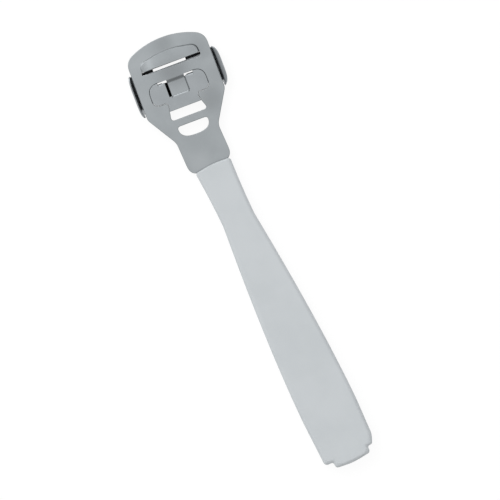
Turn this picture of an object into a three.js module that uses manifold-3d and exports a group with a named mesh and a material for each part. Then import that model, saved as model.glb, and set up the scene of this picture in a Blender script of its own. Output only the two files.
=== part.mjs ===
// Callus cutter: a pressed-steel plane head with a replaceable blade, on a flat moulded handle.
// Millimetres, +Z up. +X runs along the handle towards the tip, +Y to the left as the tool points away.
// The origin is on the handle's flat underside, at the middle of its length.
import * as THREE from 'three';
import { mergeVertices } from 'three/addons/utils/BufferGeometryUtils.js';
import Module from 'manifold-3d';

const wasm = await Module();
wasm.setup();

// Handle
const HANDLE_LENGTH = 131.4;
const HANDLE_THICKNESS = 7;
const HANDLE_FRONT_WIDTH = 15.8;
const HANDLE_WAIST_WIDTH = 14;
const HANDLE_MAX_WIDTH = 24;
const HANDLE_BUTT_WIDTH = 23;
const WAIST_FROM_FRONT = 24.7;
const SWELL_FROM_FRONT = 112;
const SWELL_LEAD_IN = 0.1;
const SWELL_LEAD_OUT = 0.54;
const FRONT_BULGE = 0.8;
const FRONT_CORNER_RADIUS = 1.5;
const BUTT_CORNER_RADIUS = 2.6;
const BUTT_STEP_RADIUS = 1.2;
const HANDLE_EDGE_ROUND = 1.6;
const BUTT_TONGUE_WIDTH = 15.6;
const BUTT_TONGUE_LENGTH = 3.4;
const BUTT_CROWN = 0.7;

// How the head sits on the handle: it is a little askew in plan, as on the photographed tool
const HEAD_CANT = THREE.MathUtils.degToRad(4.9);
const HEAD_SIDE_OFFSET = 1.3;
const NECK_INSERT = 0.4;
const TANG_WIDTH = 8.6;
const TANG_LENGTH = 26;
const TANG_BARB_DEPTH = 0.7;
const TANG_BARB_PITCH = 6;

// Head plate outline
const HEAD_LENGTH = 57;
const PLATE_THICKNESS = 1;
const PLATE_WIDTH = 34.6;
const TIP_SAG = 3.9;
const TIP_CORNER_RADIUS = 4.6;
const SIDE_END_FROM_TIP = 29.8;
const SIDE_END_RADIUS = 3.5;
const TAPER_LENGTH = 12.2;
const NECK_WIDTH = 19;
const NECK_RADIUS = 6;
const SHOULDER_RADIUS = 5;

// Openings of the head plate, one after the other from the tip towards the handle
const TIP_TO_HOOD = 5.3;
const HOOD_DEPTH = 6.1;
const HOOD_WIDTH = 25.5;
const HOOD_SAG = 1.9;
const HOOD_CORNER_RADIUS = 3.6;
const HOOD_RISE = 1.5;
const HOOD_SLOPE = 1.7;
const HOOD_SHEET = 0.8;
const MOUTH_LENGTH = 1.5;
const MOUTH_END_RADIUS = 0.7;
const BRIDGE_WIDTH = 4.3;
const WINDOW_LENGTH = 3.9;
const WINDOW_REAR_WIDTH = 15.9;
const WINDOW_CORNER_RADIUS = 1.6;
const WEB_WIDTH = 3.1;
const HALF_MOON_DEPTH = 5.1;
const HALF_MOON_WIDTH = 13.4;
const HALF_MOON_SIDE_PULL = 0.8;
const HALF_MOON_FOOT_PULL = 0.68;

// Tab lanced from the bridge: it steps down through the clip's pad and hooks under its tongue
const TAB_WIDTH = 7.6;
const TAB_STEP_LENGTH = 1.6;
const TAB_HOOK = 1.5;

// Blade clip
const CLIP_THICKNESS = 0.6;
const PAD_PROUD = 0.25;
const PAD_WIDTH = 24.2;
const PAD_LENGTH = 8.65;
const PAD_TOP_WIDTH = 18;
const PAD_LOBE_FOOT_WIDTH = 18.4;
const PAD_NECK_WIDTH = 12.6;
const PAD_NECK_RADIUS = 1.45;
const PAD_TONGUE_WIDTH = 13.6;
const PAD_TONGUE_LENGTH = 3.9;
const PAD_RELIEF = 0.1;
const TAB_SIDE_GAP = 0.3;
const TAB_FAR_SIDE_GAP = 1.1;
const TAB_OPENING_LENGTH = 6.8;
const CLIP_NOTCH_WIDTH = 14.8;
const CLIP_TAIL = 0.85;
const EAR_LEAD = 0.6;
const EAR_LENGTH = 17.9;
const EAR_TOP_ABOVE_PLATE = 1.5;
const EAR_FLARE = 0.9;
const EAR_CORNER_RADIUS = 1.8;

// Blade
const BLADE_THICKNESS = 0.3;
const BLADE_WIDTH = 10;
const BLADE_EXPOSURE = 0.5;
const BLADE_BEVEL = 1.1;
const BLADE_EDGE_THICKNESS = 0.06;
const BLADE_NOTCH_LEAD = 0.6;

// Clearances
const SHEET_GAP = 0.3;
const PAD_GAP = 0.35;
const EAR_GAP = 0.4;
const TANG_GAP = 0.3;

// Finishes
const HANDLE_COLOR = 0xc8cdd0;
const HANDLE_ROUGHNESS = 0.55;
const PLATE_COLOR = 0xa0a5a8;
const PLATE_ROUGHNESS = 0.3;
const CLIP_COLOR = 0x8f9497;
const CLIP_ROUGHNESS = 0.35;
const BLADE_COLOR = 0xb4b8ba;
const BLADE_ROUGHNESS = 0.2;

// How curves are drawn: their steps, the share of an edge that one rounded corner may take, the share
// of a crown that its middle corner stands beyond it, and the share of a radius that is always kept
const CURVE_STEPS = 8;
const EDGE_STEPS = 3;
const HOOD_STEPS = 3;
const CORNER_SHARE = 0.49;
const CROWN_SHARE = 1 / 3;
const LEAST_RADIUS_SHARE = 0.25;

// How far cutting bodies run past what they cut, and how close points are to be one point
const PAST = 2;
const SAME_POINT = 1e-4;

// Places along the head, measured forwards from the handle's front edge
const tipX = HEAD_LENGTH;
const hoodFrontX = tipX - TIP_TO_HOOD;
const lipX = hoodFrontX - HOOD_DEPTH;
const bridgeFrontX = lipX - MOUTH_LENGTH;
const bridgeRearX = bridgeFrontX - BRIDGE_WIDTH;
const padFrontX = bridgeRearX - PAD_GAP;
const padReliefX = padFrontX - CLIP_THICKNESS - PAD_RELIEF;
const hingeX = padFrontX - TAB_OPENING_LENGTH;
const padLobeX = padFrontX - PAD_LENGTH;
const padRearX = padLobeX - PAD_TONGUE_LENGTH;
const windowRearX = padRearX - WINDOW_LENGTH;
const halfMoonX = windowRearX - WEB_WIDTH;
const bladeEdgeX = bridgeFrontX + BLADE_EXPOSURE;
const earFrontX = lipX + EAR_LEAD;

// Heights in the head, measured from the middle of the plate's thickness
const plateTop = PLATE_THICKNESS / 2;
const plateBottom = -plateTop;
const bladeTop = plateBottom - SHEET_GAP;
const bladeBottom = bladeTop - BLADE_THICKNESS;
const clipTop = bladeBottom - SHEET_GAP;
const clipBottom = clipTop - CLIP_THICKNESS;
const padTop = plateTop + PAD_PROUD;
const padUnderside = padTop - CLIP_THICKNESS;
const tabTop = padUnderside - SHEET_GAP;
const tabBottom = tabTop - PLATE_THICKNESS;

// Where the head group sits, seen from the middle of the handle's front edge
const headPlacement = new THREE.Matrix4()
  .makeTranslation(0, HEAD_SIDE_OFFSET, 0)
  .multiply(new THREE.Matrix4().makeRotationZ(-HEAD_CANT));

// A closed outline through corners [x, y, radius], with each corner rounded within half its edges.
function roundedShape(corners) {
  const shape = new THREE.Shape();
  corners.forEach(([x, y, radius], i) => {
    const here = new THREE.Vector2(x, y);
    const before = new THREE.Vector2(...corners.at(i - 1).slice(0, 2)).sub(here);
    const after = new THREE.Vector2(...corners[(i + 1) % corners.length].slice(0, 2)).sub(here);
    const turn = Math.PI - Math.abs(before.angleTo(after));
    const wanted = radius * Math.tan(turn / 2);
    const reach = Math.min(wanted, CORNER_SHARE * before.length(), CORNER_SHARE * after.length());
    const start = before.setLength(reach).add(here);
    const end = after.setLength(reach).add(here);
    if (i === 0) {
      shape.moveTo(start.x, start.y);
    } else {
      shape.lineTo(start.x, start.y);
    }
    if (reach > 0) {
      shape.quadraticCurveTo(here.x, here.y, end.x, end.y);
    }
  });
  shape.closePath();
  return shape;
}

// The corners of one half of a symmetric outline, listed from +Y, followed by their mirror images.
function mirrored(half) {
  const other = half.map(([x, y, radius]) => [x, -y, radius]).reverse();
  return [...half, ...other];
}

// A flat sheet with the given outline, between two heights.
function sheet(shape, bottom, top) {
  const geometry = new THREE.ExtrudeGeometry(shape, {
    depth: top - bottom,
    bevelEnabled: false,
    curveSegments: CURVE_STEPS,
  });
  return geometry.translate(0, 0, bottom);
}

// A bar whose side view is a list of [x, z] corners, centred across the head.
function bar(profile, width) {
  const shape = new THREE.Shape(profile.map(([x, z]) => new THREE.Vector2(x, z)));
  const geometry = new THREE.ExtrudeGeometry(shape, { depth: width, bevelEnabled: false });
  return geometry.translate(0, 0, -width / 2).rotateX(Math.PI / 2);
}

// A box between two opposite corners.
function block(low, high) {
  const size = high.map((value, i) => value - low[i]);
  const middle = high.map((value, i) => (value + low[i]) / 2);
  return new THREE.BoxGeometry(...size).translate(...middle);
}

// Turns a closed geometry into a solid that can be joined and cut.
function solid(geometry) {
  const bare = geometry.clone();
  bare.deleteAttribute('normal');
  bare.deleteAttribute('uv');
  const merged = mergeVertices(bare, SAME_POINT);
  const mesh = new wasm.Mesh({
    numProp: 3,
    vertProperties: new Float32Array(merged.attributes.position.array),
    triVerts: new Uint32Array(merged.index.array),
  });
  return new wasm.Manifold(mesh);
}

// Turns a solid back into a geometry with flat faces.
function geometryOf(body) {
  const mesh = body.getMesh();
  const geometry = new THREE.BufferGeometry();
  geometry.setAttribute('position', new THREE.Float32BufferAttribute(mesh.vertProperties, 3));
  geometry.setIndex(Array.from(mesh.triVerts));
  const flat = geometry.toNonIndexed();
  flat.computeVertexNormals();
  return flat;
}

// A named piece.
function piece(name, body, color, roughness, metalness) {
  const material = new THREE.MeshStandardMaterial({ color, roughness, metalness });
  const mesh = new THREE.Mesh(geometryOf(body), material);
  mesh.name = name;
  return mesh;
}

// A closed body through outlines at rising heights, each with as many points as the first.
function loft(rings) {
  const loops = rings.map(({ outline }) => outline.extractPoints(CURVE_STEPS).shape.slice(0, -1));
  const count = loops[0].length;
  const places = [];
  loops.forEach((loop, i) => loop.forEach((point) => places.push(point.x, point.y, rings[i].z)));
  const faces = [];
  for (let i = 0; i + 1 < loops.length; i += 1) {
    for (let j = 0; j < count; j += 1) {
      const a = i * count + j;
      const b = i * count + ((j + 1) % count);
      faces.push(a, b, b + count, a, b + count, a + count);
    }
  }
  const last = (loops.length - 1) * count;
  THREE.ShapeUtils.triangulateShape(loops[0], []).forEach(([a, b, c]) => faces.push(a, c, b));
  THREE.ShapeUtils.triangulateShape(loops.at(-1), [])
    .forEach(([a, b, c]) => faces.push(last + a, last + b, last + c));
  const geometry = new THREE.BufferGeometry();
  geometry.setAttribute('position', new THREE.Float32BufferAttribute(places, 3));
  geometry.setIndex(THREE.ShapeUtils.isClockWise(loops[0]) ? faces.reverse() : faces);
  return geometry;
}

// Outline of the handle drawn in by the given amount, with x running back from its front edge.
function handleOutline(inset) {
  const half = HANDLE_FRONT_WIDTH / 2 - inset;
  const waist = HANDLE_WAIST_WIDTH / 2 - inset;
  const swell = HANDLE_MAX_WIDTH / 2 - inset;
  const neckRun = WAIST_FROM_FRONT / 3;
  const swellRun = SWELL_FROM_FRONT - WAIST_FROM_FRONT;
  const front = new THREE.CubicBezierCurve(
    new THREE.Vector2(0, half),
    new THREE.Vector2(-neckRun, waist + (half - waist) / 3),
    new THREE.Vector2(-2 * neckRun, waist),
    new THREE.Vector2(-WAIST_FROM_FRONT, waist),
  );
  const flank = new THREE.CubicBezierCurve(
    new THREE.Vector2(-WAIST_FROM_FRONT, waist),
    new THREE.Vector2(-WAIST_FROM_FRONT - SWELL_LEAD_IN * swellRun, waist),
    new THREE.Vector2(-WAIST_FROM_FRONT - SWELL_LEAD_OUT * swellRun, swell),
    new THREE.Vector2(-SWELL_FROM_FRONT, swell),
  );
  const side = [...front.getPoints(CURVE_STEPS).slice(2), ...flank.getPoints(2 * CURVE_STEPS).slice(1)];
  const tongue = BUTT_TONGUE_WIDTH / 2 - inset;
  const buttX = inset - HANDLE_LENGTH;
  const endX = buttX - BUTT_TONGUE_LENGTH;
  const corner = (radius) => Math.max(radius - inset, radius * LEAST_RADIUS_SHARE);
  const left = [
    [-inset, half, corner(FRONT_CORNER_RADIUS)],
    ...side.map((point) => [point.x, point.y, 0]),
    [buttX, HANDLE_BUTT_WIDTH / 2 - inset, corner(BUTT_CORNER_RADIUS)],
    [buttX, tongue, BUTT_STEP_RADIUS],
    [endX + BUTT_CROWN, tongue, corner(BUTT_CORNER_RADIUS)],
  ];
  const right = left.map(([x, y, radius]) => [x, -y, radius]).reverse();
  const nose = [FRONT_BULGE - inset, 0, HANDLE_LENGTH];
  const heel = [endX - BUTT_CROWN * CROWN_SHARE, 0, HANDLE_LENGTH];
  return roundedShape([nose, ...left, heel, ...right]);
}

// The moulded grip, with the mouth for the neck and the socket for the tang.
function buildHandle() {
  const rings = [];
  for (let i = 0; i <= EDGE_STEPS; i += 1) {
    const angle = (Math.PI / 2) * (i / EDGE_STEPS);
    const inset = HANDLE_EDGE_ROUND * (1 - Math.sin(angle));
    const drop = HANDLE_EDGE_ROUND * (1 - Math.cos(angle));
    rings.push({ z: drop - HANDLE_THICKNESS / 2, outline: handleOutline(inset) });
  }
  const upper = rings.map(({ z, outline }) => ({ z: -z, outline })).reverse();
  const socketTop = plateTop + TANG_GAP;
  const mouthWidth = HANDLE_FRONT_WIDTH + NECK_WIDTH;
  const mouth = block(
    [-NECK_INSERT - TANG_GAP, -mouthWidth / 2, -socketTop],
    [FRONT_BULGE + PAST, mouthWidth / 2, socketTop],
  );
  const socketWidth = TANG_WIDTH + 2 * TANG_GAP;
  const socket = block(
    [-TANG_LENGTH - TANG_GAP, -socketWidth / 2, -socketTop],
    [FRONT_BULGE + PAST, socketWidth / 2, socketTop],
  );
  return solid(loft([...rings, ...upper])).subtract(solid(mouth)).subtract(solid(socket));
}

// Outline of the head plate without its tang.
function plateOutline() {
  const side = PLATE_WIDTH / 2;
  const neck = NECK_WIDTH / 2;
  const sideEndX = tipX - SIDE_END_FROM_TIP;
  const half = [
    [tipX - TIP_SAG, side, TIP_CORNER_RADIUS],
    [sideEndX, side, SIDE_END_RADIUS],
    [sideEndX - TAPER_LENGTH, neck, NECK_RADIUS],
    [-NECK_INSERT - PAST / 2, neck, SHOULDER_RADIUS],
  ];
  return roundedShape([[tipX + TIP_SAG * CROWN_SHARE, 0, HEAD_LENGTH], ...mirrored(half)]);
}

// Outline of the raised hood, drawn in by the given amount and run back over half of the mouth.
function hoodOutline(inset) {
  const side = HOOD_WIDTH / 2 - inset;
  const radius = Math.max(HOOD_CORNER_RADIUS - inset, HOOD_SHEET);
  const half = [
    [hoodFrontX - HOOD_SAG - inset, side, radius],
    [lipX - MOUTH_LENGTH / 2, side, 0],
  ];
  return roundedShape([[hoodFrontX + HOOD_SAG * CROWN_SHARE - inset, 0, HEAD_LENGTH], ...mirrored(half)]);
}

// A closed mound that rises from the hood's outline to its drawn-in top.
function mound(bottom, foot, rise, inset) {
  const rings = [{ z: bottom, outline: hoodOutline(inset) }];
  for (let i = 0; i <= HOOD_STEPS; i += 1) {
    const share = i / HOOD_STEPS;
    const lift = (1 - Math.cos(Math.PI * share)) / 2;
    rings.push({ z: foot + rise * lift, outline: hoodOutline(inset + HOOD_SLOPE * share) });
  }
  return loft(rings);
}

// Corners of the pad's outline on one side, each moved outwards by the given amount.
function padHalf(grow, rearX) {
  const frontX = padFrontX + grow;
  const lobeY = PAD_WIDTH / 2 + grow;
  const footX = padLobeX - grow;
  const neckY = PAD_NECK_WIDTH / 2 + grow;
  const tongueY = PAD_TONGUE_WIDTH / 2 + grow;
  const cornerRadius = (PAD_WIDTH - PAD_TOP_WIDTH) / 2 + grow;
  const footRadius = (PAD_WIDTH - PAD_LOBE_FOOT_WIDTH) / 2 + grow;
  const neckRadius = Math.max(PAD_NECK_RADIUS - grow, 0);
  return [
    [frontX, lobeY, cornerRadius],
    [footX, lobeY, footRadius],
    [footX, neckY, neckRadius],
    [rearX, tongueY, 0],
  ];
}

// The steel head plate: sheet, raised hood, openings, lanced tab and tang.
function buildHeadPlate() {
  const through = [plateBottom - PAST, padTop + HOOD_RISE + PAST];
  const mouthHalf = HOOD_WIDTH / 2;
  const mouth = roundedShape(mirrored([
    [lipX, mouthHalf, MOUTH_END_RADIUS],
    [bridgeFrontX, mouthHalf, MOUTH_END_RADIUS],
  ]));
  const windowHalf = [
    ...padHalf(PAD_GAP, padRearX),
    [windowRearX, WINDOW_REAR_WIDTH / 2, WINDOW_CORNER_RADIUS],
  ];
  const moonHalf = HALF_MOON_WIDTH / 2;
  const moon = new THREE.Shape();
  moon.moveTo(halfMoonX, moonHalf);
  const moonSideX = halfMoonX - HALF_MOON_DEPTH * HALF_MOON_SIDE_PULL;
  const moonFootX = halfMoonX - HALF_MOON_DEPTH;
  const moonFootY = moonHalf * HALF_MOON_FOOT_PULL;
  moon.bezierCurveTo(moonSideX, moonHalf, moonFootX, moonFootY, moonFootX, 0);
  moon.bezierCurveTo(moonFootX, -moonFootY, moonSideX, -moonHalf, halfMoonX, -moonHalf);
  moon.closePath();

  const tabRearX = hingeX - TAB_HOOK;
  const tab = bar([
    [bridgeRearX + BRIDGE_WIDTH / 2, plateBottom],
    [bridgeRearX + BRIDGE_WIDTH / 2, plateTop],
    [bridgeRearX, plateTop],
    [bridgeRearX - TAB_STEP_LENGTH, tabTop],
    [tabRearX, tabTop],
    [tabRearX, tabBottom],
    [bridgeRearX - TAB_STEP_LENGTH, tabBottom],
    [bridgeRearX, plateBottom],
  ], TAB_WIDTH);

  const tangHalf = TANG_WIDTH / 2;
  const tangCorners = [[0, tangHalf, 0]];
  const barbs = Math.floor(TANG_LENGTH / TANG_BARB_PITCH) - 1;
  for (let i = 1; i <= barbs; i += 1) {
    const barbX = -i * TANG_BARB_PITCH;
    tangCorners.push([barbX, tangHalf, 0], [barbX, tangHalf - TANG_BARB_DEPTH, 0]);
    tangCorners.push([barbX - TANG_BARB_PITCH / 2, tangHalf, 0]);
  }
  tangCorners.push([-TANG_LENGTH, tangHalf, TANG_BARB_DEPTH]);
  const toHead = headPlacement.clone().invert();
  const tangShape = roundedShape(mirrored(tangCorners));
  const tang = sheet(tangShape, plateBottom, plateTop).applyMatrix4(toHead);
  const behindMouth = block(
    [-TANG_LENGTH, -NECK_WIDTH, plateBottom - PAST],
    [-NECK_INSERT, NECK_WIDTH, plateTop + PAST],
  ).applyMatrix4(toHead);

  const hoodFoot = solid(mound(plateBottom, plateTop, HOOD_RISE, 0));
  const hollow = solid(mound(plateBottom - PAST, plateTop - HOOD_SHEET, HOOD_RISE, HOOD_SHEET));
  return solid(sheet(plateOutline(), plateBottom, plateTop))
    .add(hoodFoot)
    .subtract(hollow)
    .subtract(solid(sheet(mouth, ...through)))
    .subtract(solid(sheet(roundedShape(mirrored(windowHalf)), ...through)))
    .subtract(solid(sheet(moon, ...through)))
    .subtract(solid(behindMouth))
    .add(solid(tab))
    .add(solid(tang));
}

// One ear of the clip, on the side given by +1 or -1, flared outwards and rounded at its upper corners.
function ear(side) {
  const rootY = PLATE_WIDTH / 2 + EAR_GAP;
  const topZ = plateTop + EAR_TOP_ABOVE_PLATE;
  const topY = rootY + EAR_FLARE;
  const section = new THREE.Shape([
    new THREE.Vector2(side * rootY, clipBottom),
    new THREE.Vector2(side * (rootY + CLIP_THICKNESS), clipBottom),
    new THREE.Vector2(side * (topY + CLIP_THICKNESS), topZ),
    new THREE.Vector2(side * topY, topZ),
  ]);
  const strip = new THREE.ExtrudeGeometry(section, { depth: EAR_LENGTH, bevelEnabled: false })
    .applyMatrix4(new THREE.Matrix4().makeBasis(
      new THREE.Vector3(0, 1, 0),
      new THREE.Vector3(0, 0, 1),
      new THREE.Vector3(1, 0, 0),
    ))
    .translate(earFrontX - EAR_LENGTH, 0, 0);
  const face = roundedShape([
    [earFrontX, clipBottom, 0],
    [earFrontX, topZ, EAR_CORNER_RADIUS],
    [earFrontX - EAR_LENGTH, topZ, EAR_CORNER_RADIUS],
    [earFrontX - EAR_LENGTH, clipBottom, EAR_CORNER_RADIUS],
  ]);
  const reach = 2 * (topY + CLIP_THICKNESS + PAST);
  const faceBar = new THREE.ExtrudeGeometry(face, {
    depth: reach,
    bevelEnabled: false,
    curveSegments: EDGE_STEPS,
  }).translate(0, 0, -reach / 2).rotateX(Math.PI / 2);
  return solid(strip).intersect(solid(faceBar));
}

// The spring clip: base under the blade, lobed pad in the plate's cut-out, tongue and two ears.
function buildBladeClip() {
  const rootY = PLATE_WIDTH / 2 + EAR_GAP;
  const baseRearX = hingeX - CLIP_TAIL;
  const base = block([baseRearX, -rootY - CLIP_THICKNESS / 2, clipBottom], [
    earFrontX, rootY + CLIP_THICKNESS / 2, clipTop,
  ]);
  const outer = (grow, rearX) => roundedShape(mirrored(padHalf(grow, rearX)));
  const pad = sheet(outer(0, padRearX), clipBottom, padTop);
  const hollow = sheet(outer(-CLIP_THICKNESS, padRearX - PAST), clipBottom - PAST, padUnderside);
  const padReach = PAD_WIDTH / 2 + PAST;
  const behindHinge = block(
    [padRearX - PAST, -padReach, clipBottom - PAST],
    [hingeX, padReach, padUnderside],
  );
  const underTongue = solid(sheet(outer(PAD_GAP, padRearX - PAST), clipBottom - PAST, padUnderside))
    .intersect(solid(behindHinge));
  const tabOpening = block(
    [hingeX, -TAB_WIDTH / 2 - TAB_SIDE_GAP, clipBottom - PAST],
    [padFrontX + PAST, TAB_WIDTH / 2 + TAB_FAR_SIDE_GAP, padTop + PAST],
  );
  const openingMiddleY = (TAB_FAR_SIDE_GAP - TAB_SIDE_GAP) / 2;
  const notch = block(
    [padReliefX, openingMiddleY - CLIP_NOTCH_WIDTH / 2, clipBottom - PAST],
    [earFrontX + PAST, openingMiddleY + CLIP_NOTCH_WIDTH / 2, padTop + PAST],
  );
  return solid(base)
    .add(solid(pad))
    .subtract(solid(hollow))
    .subtract(underTongue)
    .subtract(solid(tabOpening))
    .subtract(solid(notch))
    .add(ear(1))
    .add(ear(-1));
}

// The loose blade: a thin strip ground to an edge, notched behind to clear the clip's pad.
function buildBlade() {
  const rearX = bladeEdgeX - BLADE_WIDTH;
  const middle = (bladeTop + bladeBottom) / 2;
  const strip = bar([
    [bladeEdgeX, middle - BLADE_EDGE_THICKNESS / 2],
    [bladeEdgeX, middle + BLADE_EDGE_THICKNESS / 2],
    [bladeEdgeX - BLADE_BEVEL, bladeTop],
    [rearX, bladeTop],
    [rearX, bladeBottom],
    [bladeEdgeX - BLADE_BEVEL, bladeBottom],
  ], PLATE_WIDTH);
  const notchHalf = PAD_WIDTH / 2 + PAD_GAP;
  const notch = block(
    [rearX - PAST, -notchHalf, bladeBottom - PAST],
    [bridgeRearX + BLADE_NOTCH_LEAD, notchHalf, bladeTop + PAST],
  );
  return solid(strip).subtract(solid(notch));
}

const handle = piece('handle', buildHandle(), HANDLE_COLOR, HANDLE_ROUGHNESS, 0);
const headPlate = piece('head_plate', buildHeadPlate(), PLATE_COLOR, PLATE_ROUGHNESS, 1);
const bladeClip = piece('blade_clip', buildBladeClip(), CLIP_COLOR, CLIP_ROUGHNESS, 1);
const blade = piece('blade', buildBlade(), BLADE_COLOR, BLADE_ROUGHNESS, 1);

const head = new THREE.Group();
head.applyMatrix4(headPlacement);
head.add(headPlate, bladeClip, blade);

const callusCutter = new THREE.Group();
const front = new THREE.Group();
front.position.set(HANDLE_LENGTH / 2, 0, HANDLE_THICKNESS / 2);
front.add(handle, head);
callusCutter.add(front);

export default callusCutter;
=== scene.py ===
"""Callus cutter: the looks of its handle, pressed head, clip and blade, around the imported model.

Sizes are in millimetres. The pieces of the head are modelled in the head's own frame: x runs forwards
from the handle's front edge, y to the left, and z up from the middle of the plate's thickness. The handle
is modelled in the same place but along its own axis, because the head sits a little askew on it.
"""

from __future__ import annotations

import logging
import math
from collections.abc import Callable, Sequence
from dataclasses import dataclass, field
from enum import Enum

import bmesh
import bpy
from mathutils import Matrix, Vector

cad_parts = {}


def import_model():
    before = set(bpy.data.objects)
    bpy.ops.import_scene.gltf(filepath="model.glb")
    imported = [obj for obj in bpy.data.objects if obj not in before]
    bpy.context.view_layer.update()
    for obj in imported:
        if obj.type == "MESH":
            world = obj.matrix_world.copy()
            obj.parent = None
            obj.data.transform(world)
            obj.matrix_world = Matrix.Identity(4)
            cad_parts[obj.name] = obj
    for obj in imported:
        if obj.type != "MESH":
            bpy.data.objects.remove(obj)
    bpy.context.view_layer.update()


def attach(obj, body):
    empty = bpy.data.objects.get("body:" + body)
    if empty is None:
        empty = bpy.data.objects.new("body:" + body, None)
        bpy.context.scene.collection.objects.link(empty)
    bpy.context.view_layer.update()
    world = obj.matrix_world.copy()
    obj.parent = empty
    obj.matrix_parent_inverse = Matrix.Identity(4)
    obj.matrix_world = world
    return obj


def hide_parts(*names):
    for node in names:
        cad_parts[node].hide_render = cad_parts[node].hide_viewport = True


LOG = logging.getLogger("callus_cutter")
MM = 0.001

# How close two points lie when they count as one
WELD = 0.002

# A rounded corner's steps, and the share of a side that it may take up beside another one or alone
CORNER_STEPS = 10
CORNER_SHARE = 0.49
LONE_CORNER_SHARE = 0.98

# How far the corner of a bowed edge stands out, as a share of the bow
CROWN_SHARE = 1 / 3

# The face marks that the finishes read: rounded edges, and painted shade
EDGE_MARK = "edge"
SHADE_MARK = "shade"

# How upright a normal is on a level face and on a large one, and how large that is
LEVEL = 0.9999
LARGE_LEVEL = 0.99
LARGE_AREA = 20.0

# The least turn of a sharp edge, the most turn between flat faces, and the say of level faces
SHARP_DEGREES = 50.0
FLAT_DEGREES = 0.2
LEVEL_WEIGHT = 60

# An uneven direction, along which elements are put in order
ORDER = Vector((0.7071, 0.5387, 0.2913))

# The value about which the grain varies
GRAIN_MEAN = 0.5

Point = tuple[float, float]
Place = tuple[float, float, float]
Corner = tuple[float, float, float]
Color = tuple[float, float, float, float]
EdgeTest = Callable[[Vector, Vector], bool]

WHITE: Color = (1.0, 1.0, 1.0, 1.0)


class Body(Enum):
    """The rigid bodies that pieces ride on."""

    FRAME = "frame"
    CLIP = "clip"
    BLADE = "blade"


class Slot(Enum):
    """The record's material slots."""

    HANDLE = "handle_plastic"
    PLATE = "plate_steel"
    CLIP = "clip_steel"
    BLADE = "blade_steel"


class Side(Enum):
    """The two sides of the head, as signs of y."""

    LEFT = 1
    RIGHT = -1


# Outlines


def rounded(corners: Sequence[Corner], closed: bool = True, steps: int = CORNER_STEPS) -> list[Point]:
    """Draws an outline whose corners are rounded.

    Args:
        corners: The corners as (x, y, radius).
        closed: Whether the last corner joins the first one. An open outline keeps its two ends sharp.
        steps: How many steps each rounded corner has.

    Returns:
        The points of the outline, in the corners' order.
    """
    points: list[Point] = []
    count = len(corners)
    for i, (x, y, radius) in enumerate(corners):
        here = Vector((x, y))
        end_of_chain = not closed and i in (0, count - 1)
        if radius <= 0 or end_of_chain:
            points.append((x, y))
            continue
        ends = []
        for other in (corners[i - 1], corners[(i + 1) % count]):
            ends.append((Vector(other[:2]) - here, CORNER_SHARE if other[2] > 0 else LONE_CORNER_SHARE))
        turn = math.pi - ends[0][0].angle(ends[1][0])
        reach = min([radius * math.tan(turn / 2)] + [share * way.length for way, share in ends])
        start = here + ends[0][0].normalized() * reach
        stop = here + ends[1][0].normalized() * reach
        for k in range(steps + 1):
            t = k / steps
            spot = start * (1 - t) ** 2 + here * (2 * t * (1 - t)) + stop * t**2
            points.append((spot.x, spot.y))
    return points


def eased(share: float) -> float:
    """Gives a share between 0 and 1, eased at both ends."""
    share = min(max(share, 0.0), 1.0)
    return share**2 * (3 - 2 * share)


def cubic(a: Point, b: Point, c: Point, d: Point, steps: int) -> list[Point]:
    """Draws a cubic curve.

    Args:
        a: Where it starts.
        b: The first control point.
        c: The second control point.
        d: Where it ends.
        steps: How many steps it has.

    Returns:
        The points of the curve, both ends included.
    """
    points = []
    for k in range(steps + 1):
        t = k / steps
        shares = ((1 - t) ** 3, 3 * t * (1 - t) ** 2, 3 * t**2 * (1 - t), t**3)
        points.append(tuple(sum(s * p[axis] for s, p in zip(shares, (a, b, c, d))) for axis in (0, 1)))
    return points


def resampled(points: Sequence[Point], count: int) -> list[Point]:
    """Spreads points evenly along a line.

    Args:
        points: The line's points.
        count: How many points it gets.

    Returns:
        The evenly spread points, both ends included.
    """
    line = [Vector(point) for point in points]
    lengths = [(b - a).length for a, b in zip(line, line[1:])]
    step = sum(lengths) / (count - 1)
    spread = []
    index, passed = 0, 0.0
    for k in range(count):
        while index < len(lengths) - 1 and passed + lengths[index] < k * step:
            passed += lengths[index]
            index += 1
        share = min((k * step - passed) / lengths[index], 1.0)
        spot = line[index].lerp(line[index + 1], share)
        spread.append((spot.x, spot.y))
    return spread


def split_at_x(points: Sequence[Point], x: float) -> tuple[list[Point], list[Point]]:
    """Cuts a line in two where it first falls behind an x.

    Args:
        points: The line's points, starting ahead of the cut.
        x: Where it is cut.

    Returns:
        The part ahead of the cut and the part behind it, which both have the point on the cut.
    """
    for k, (a, b) in enumerate(zip(points, points[1:])):
        if a[0] >= x > b[0]:
            share = (a[0] - x) / (a[0] - b[0])
            spot = (x, a[1] + share * (b[1] - a[1]))
            return [*points[: k + 1], spot], [spot, *points[k + 1 :]]
    raise ValueError(f"the line never reaches x = {x}")


def arc_rows(count: int) -> list[float]:
    """Gives the angles of a quarter bend, from 0 to a right angle, in radians."""
    return [math.pi / 2 * k / count for k in range(count + 1)]


# Modelling


def deselect_all() -> None:
    """Leaves edit mode and selects nothing."""
    if bpy.context.object and bpy.context.object.mode != "OBJECT":
        bpy.ops.object.mode_set(mode="OBJECT")
    bpy.ops.object.select_all(action="DESELECT")


def activate(piece: bpy.types.Object) -> None:
    """Makes a piece the only selected object.

    Args:
        piece: The object.
    """
    deselect_all()
    piece.select_set(True)
    bpy.context.view_layer.objects.active = piece


def place_vertices(piece: bpy.types.Object, places: Sequence[Place]) -> None:
    """Moves a primitive's vertices, in their order, onto the given places."""
    for vertex, place in zip(piece.data.vertices, places, strict=True):
        vertex.co = place


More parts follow.
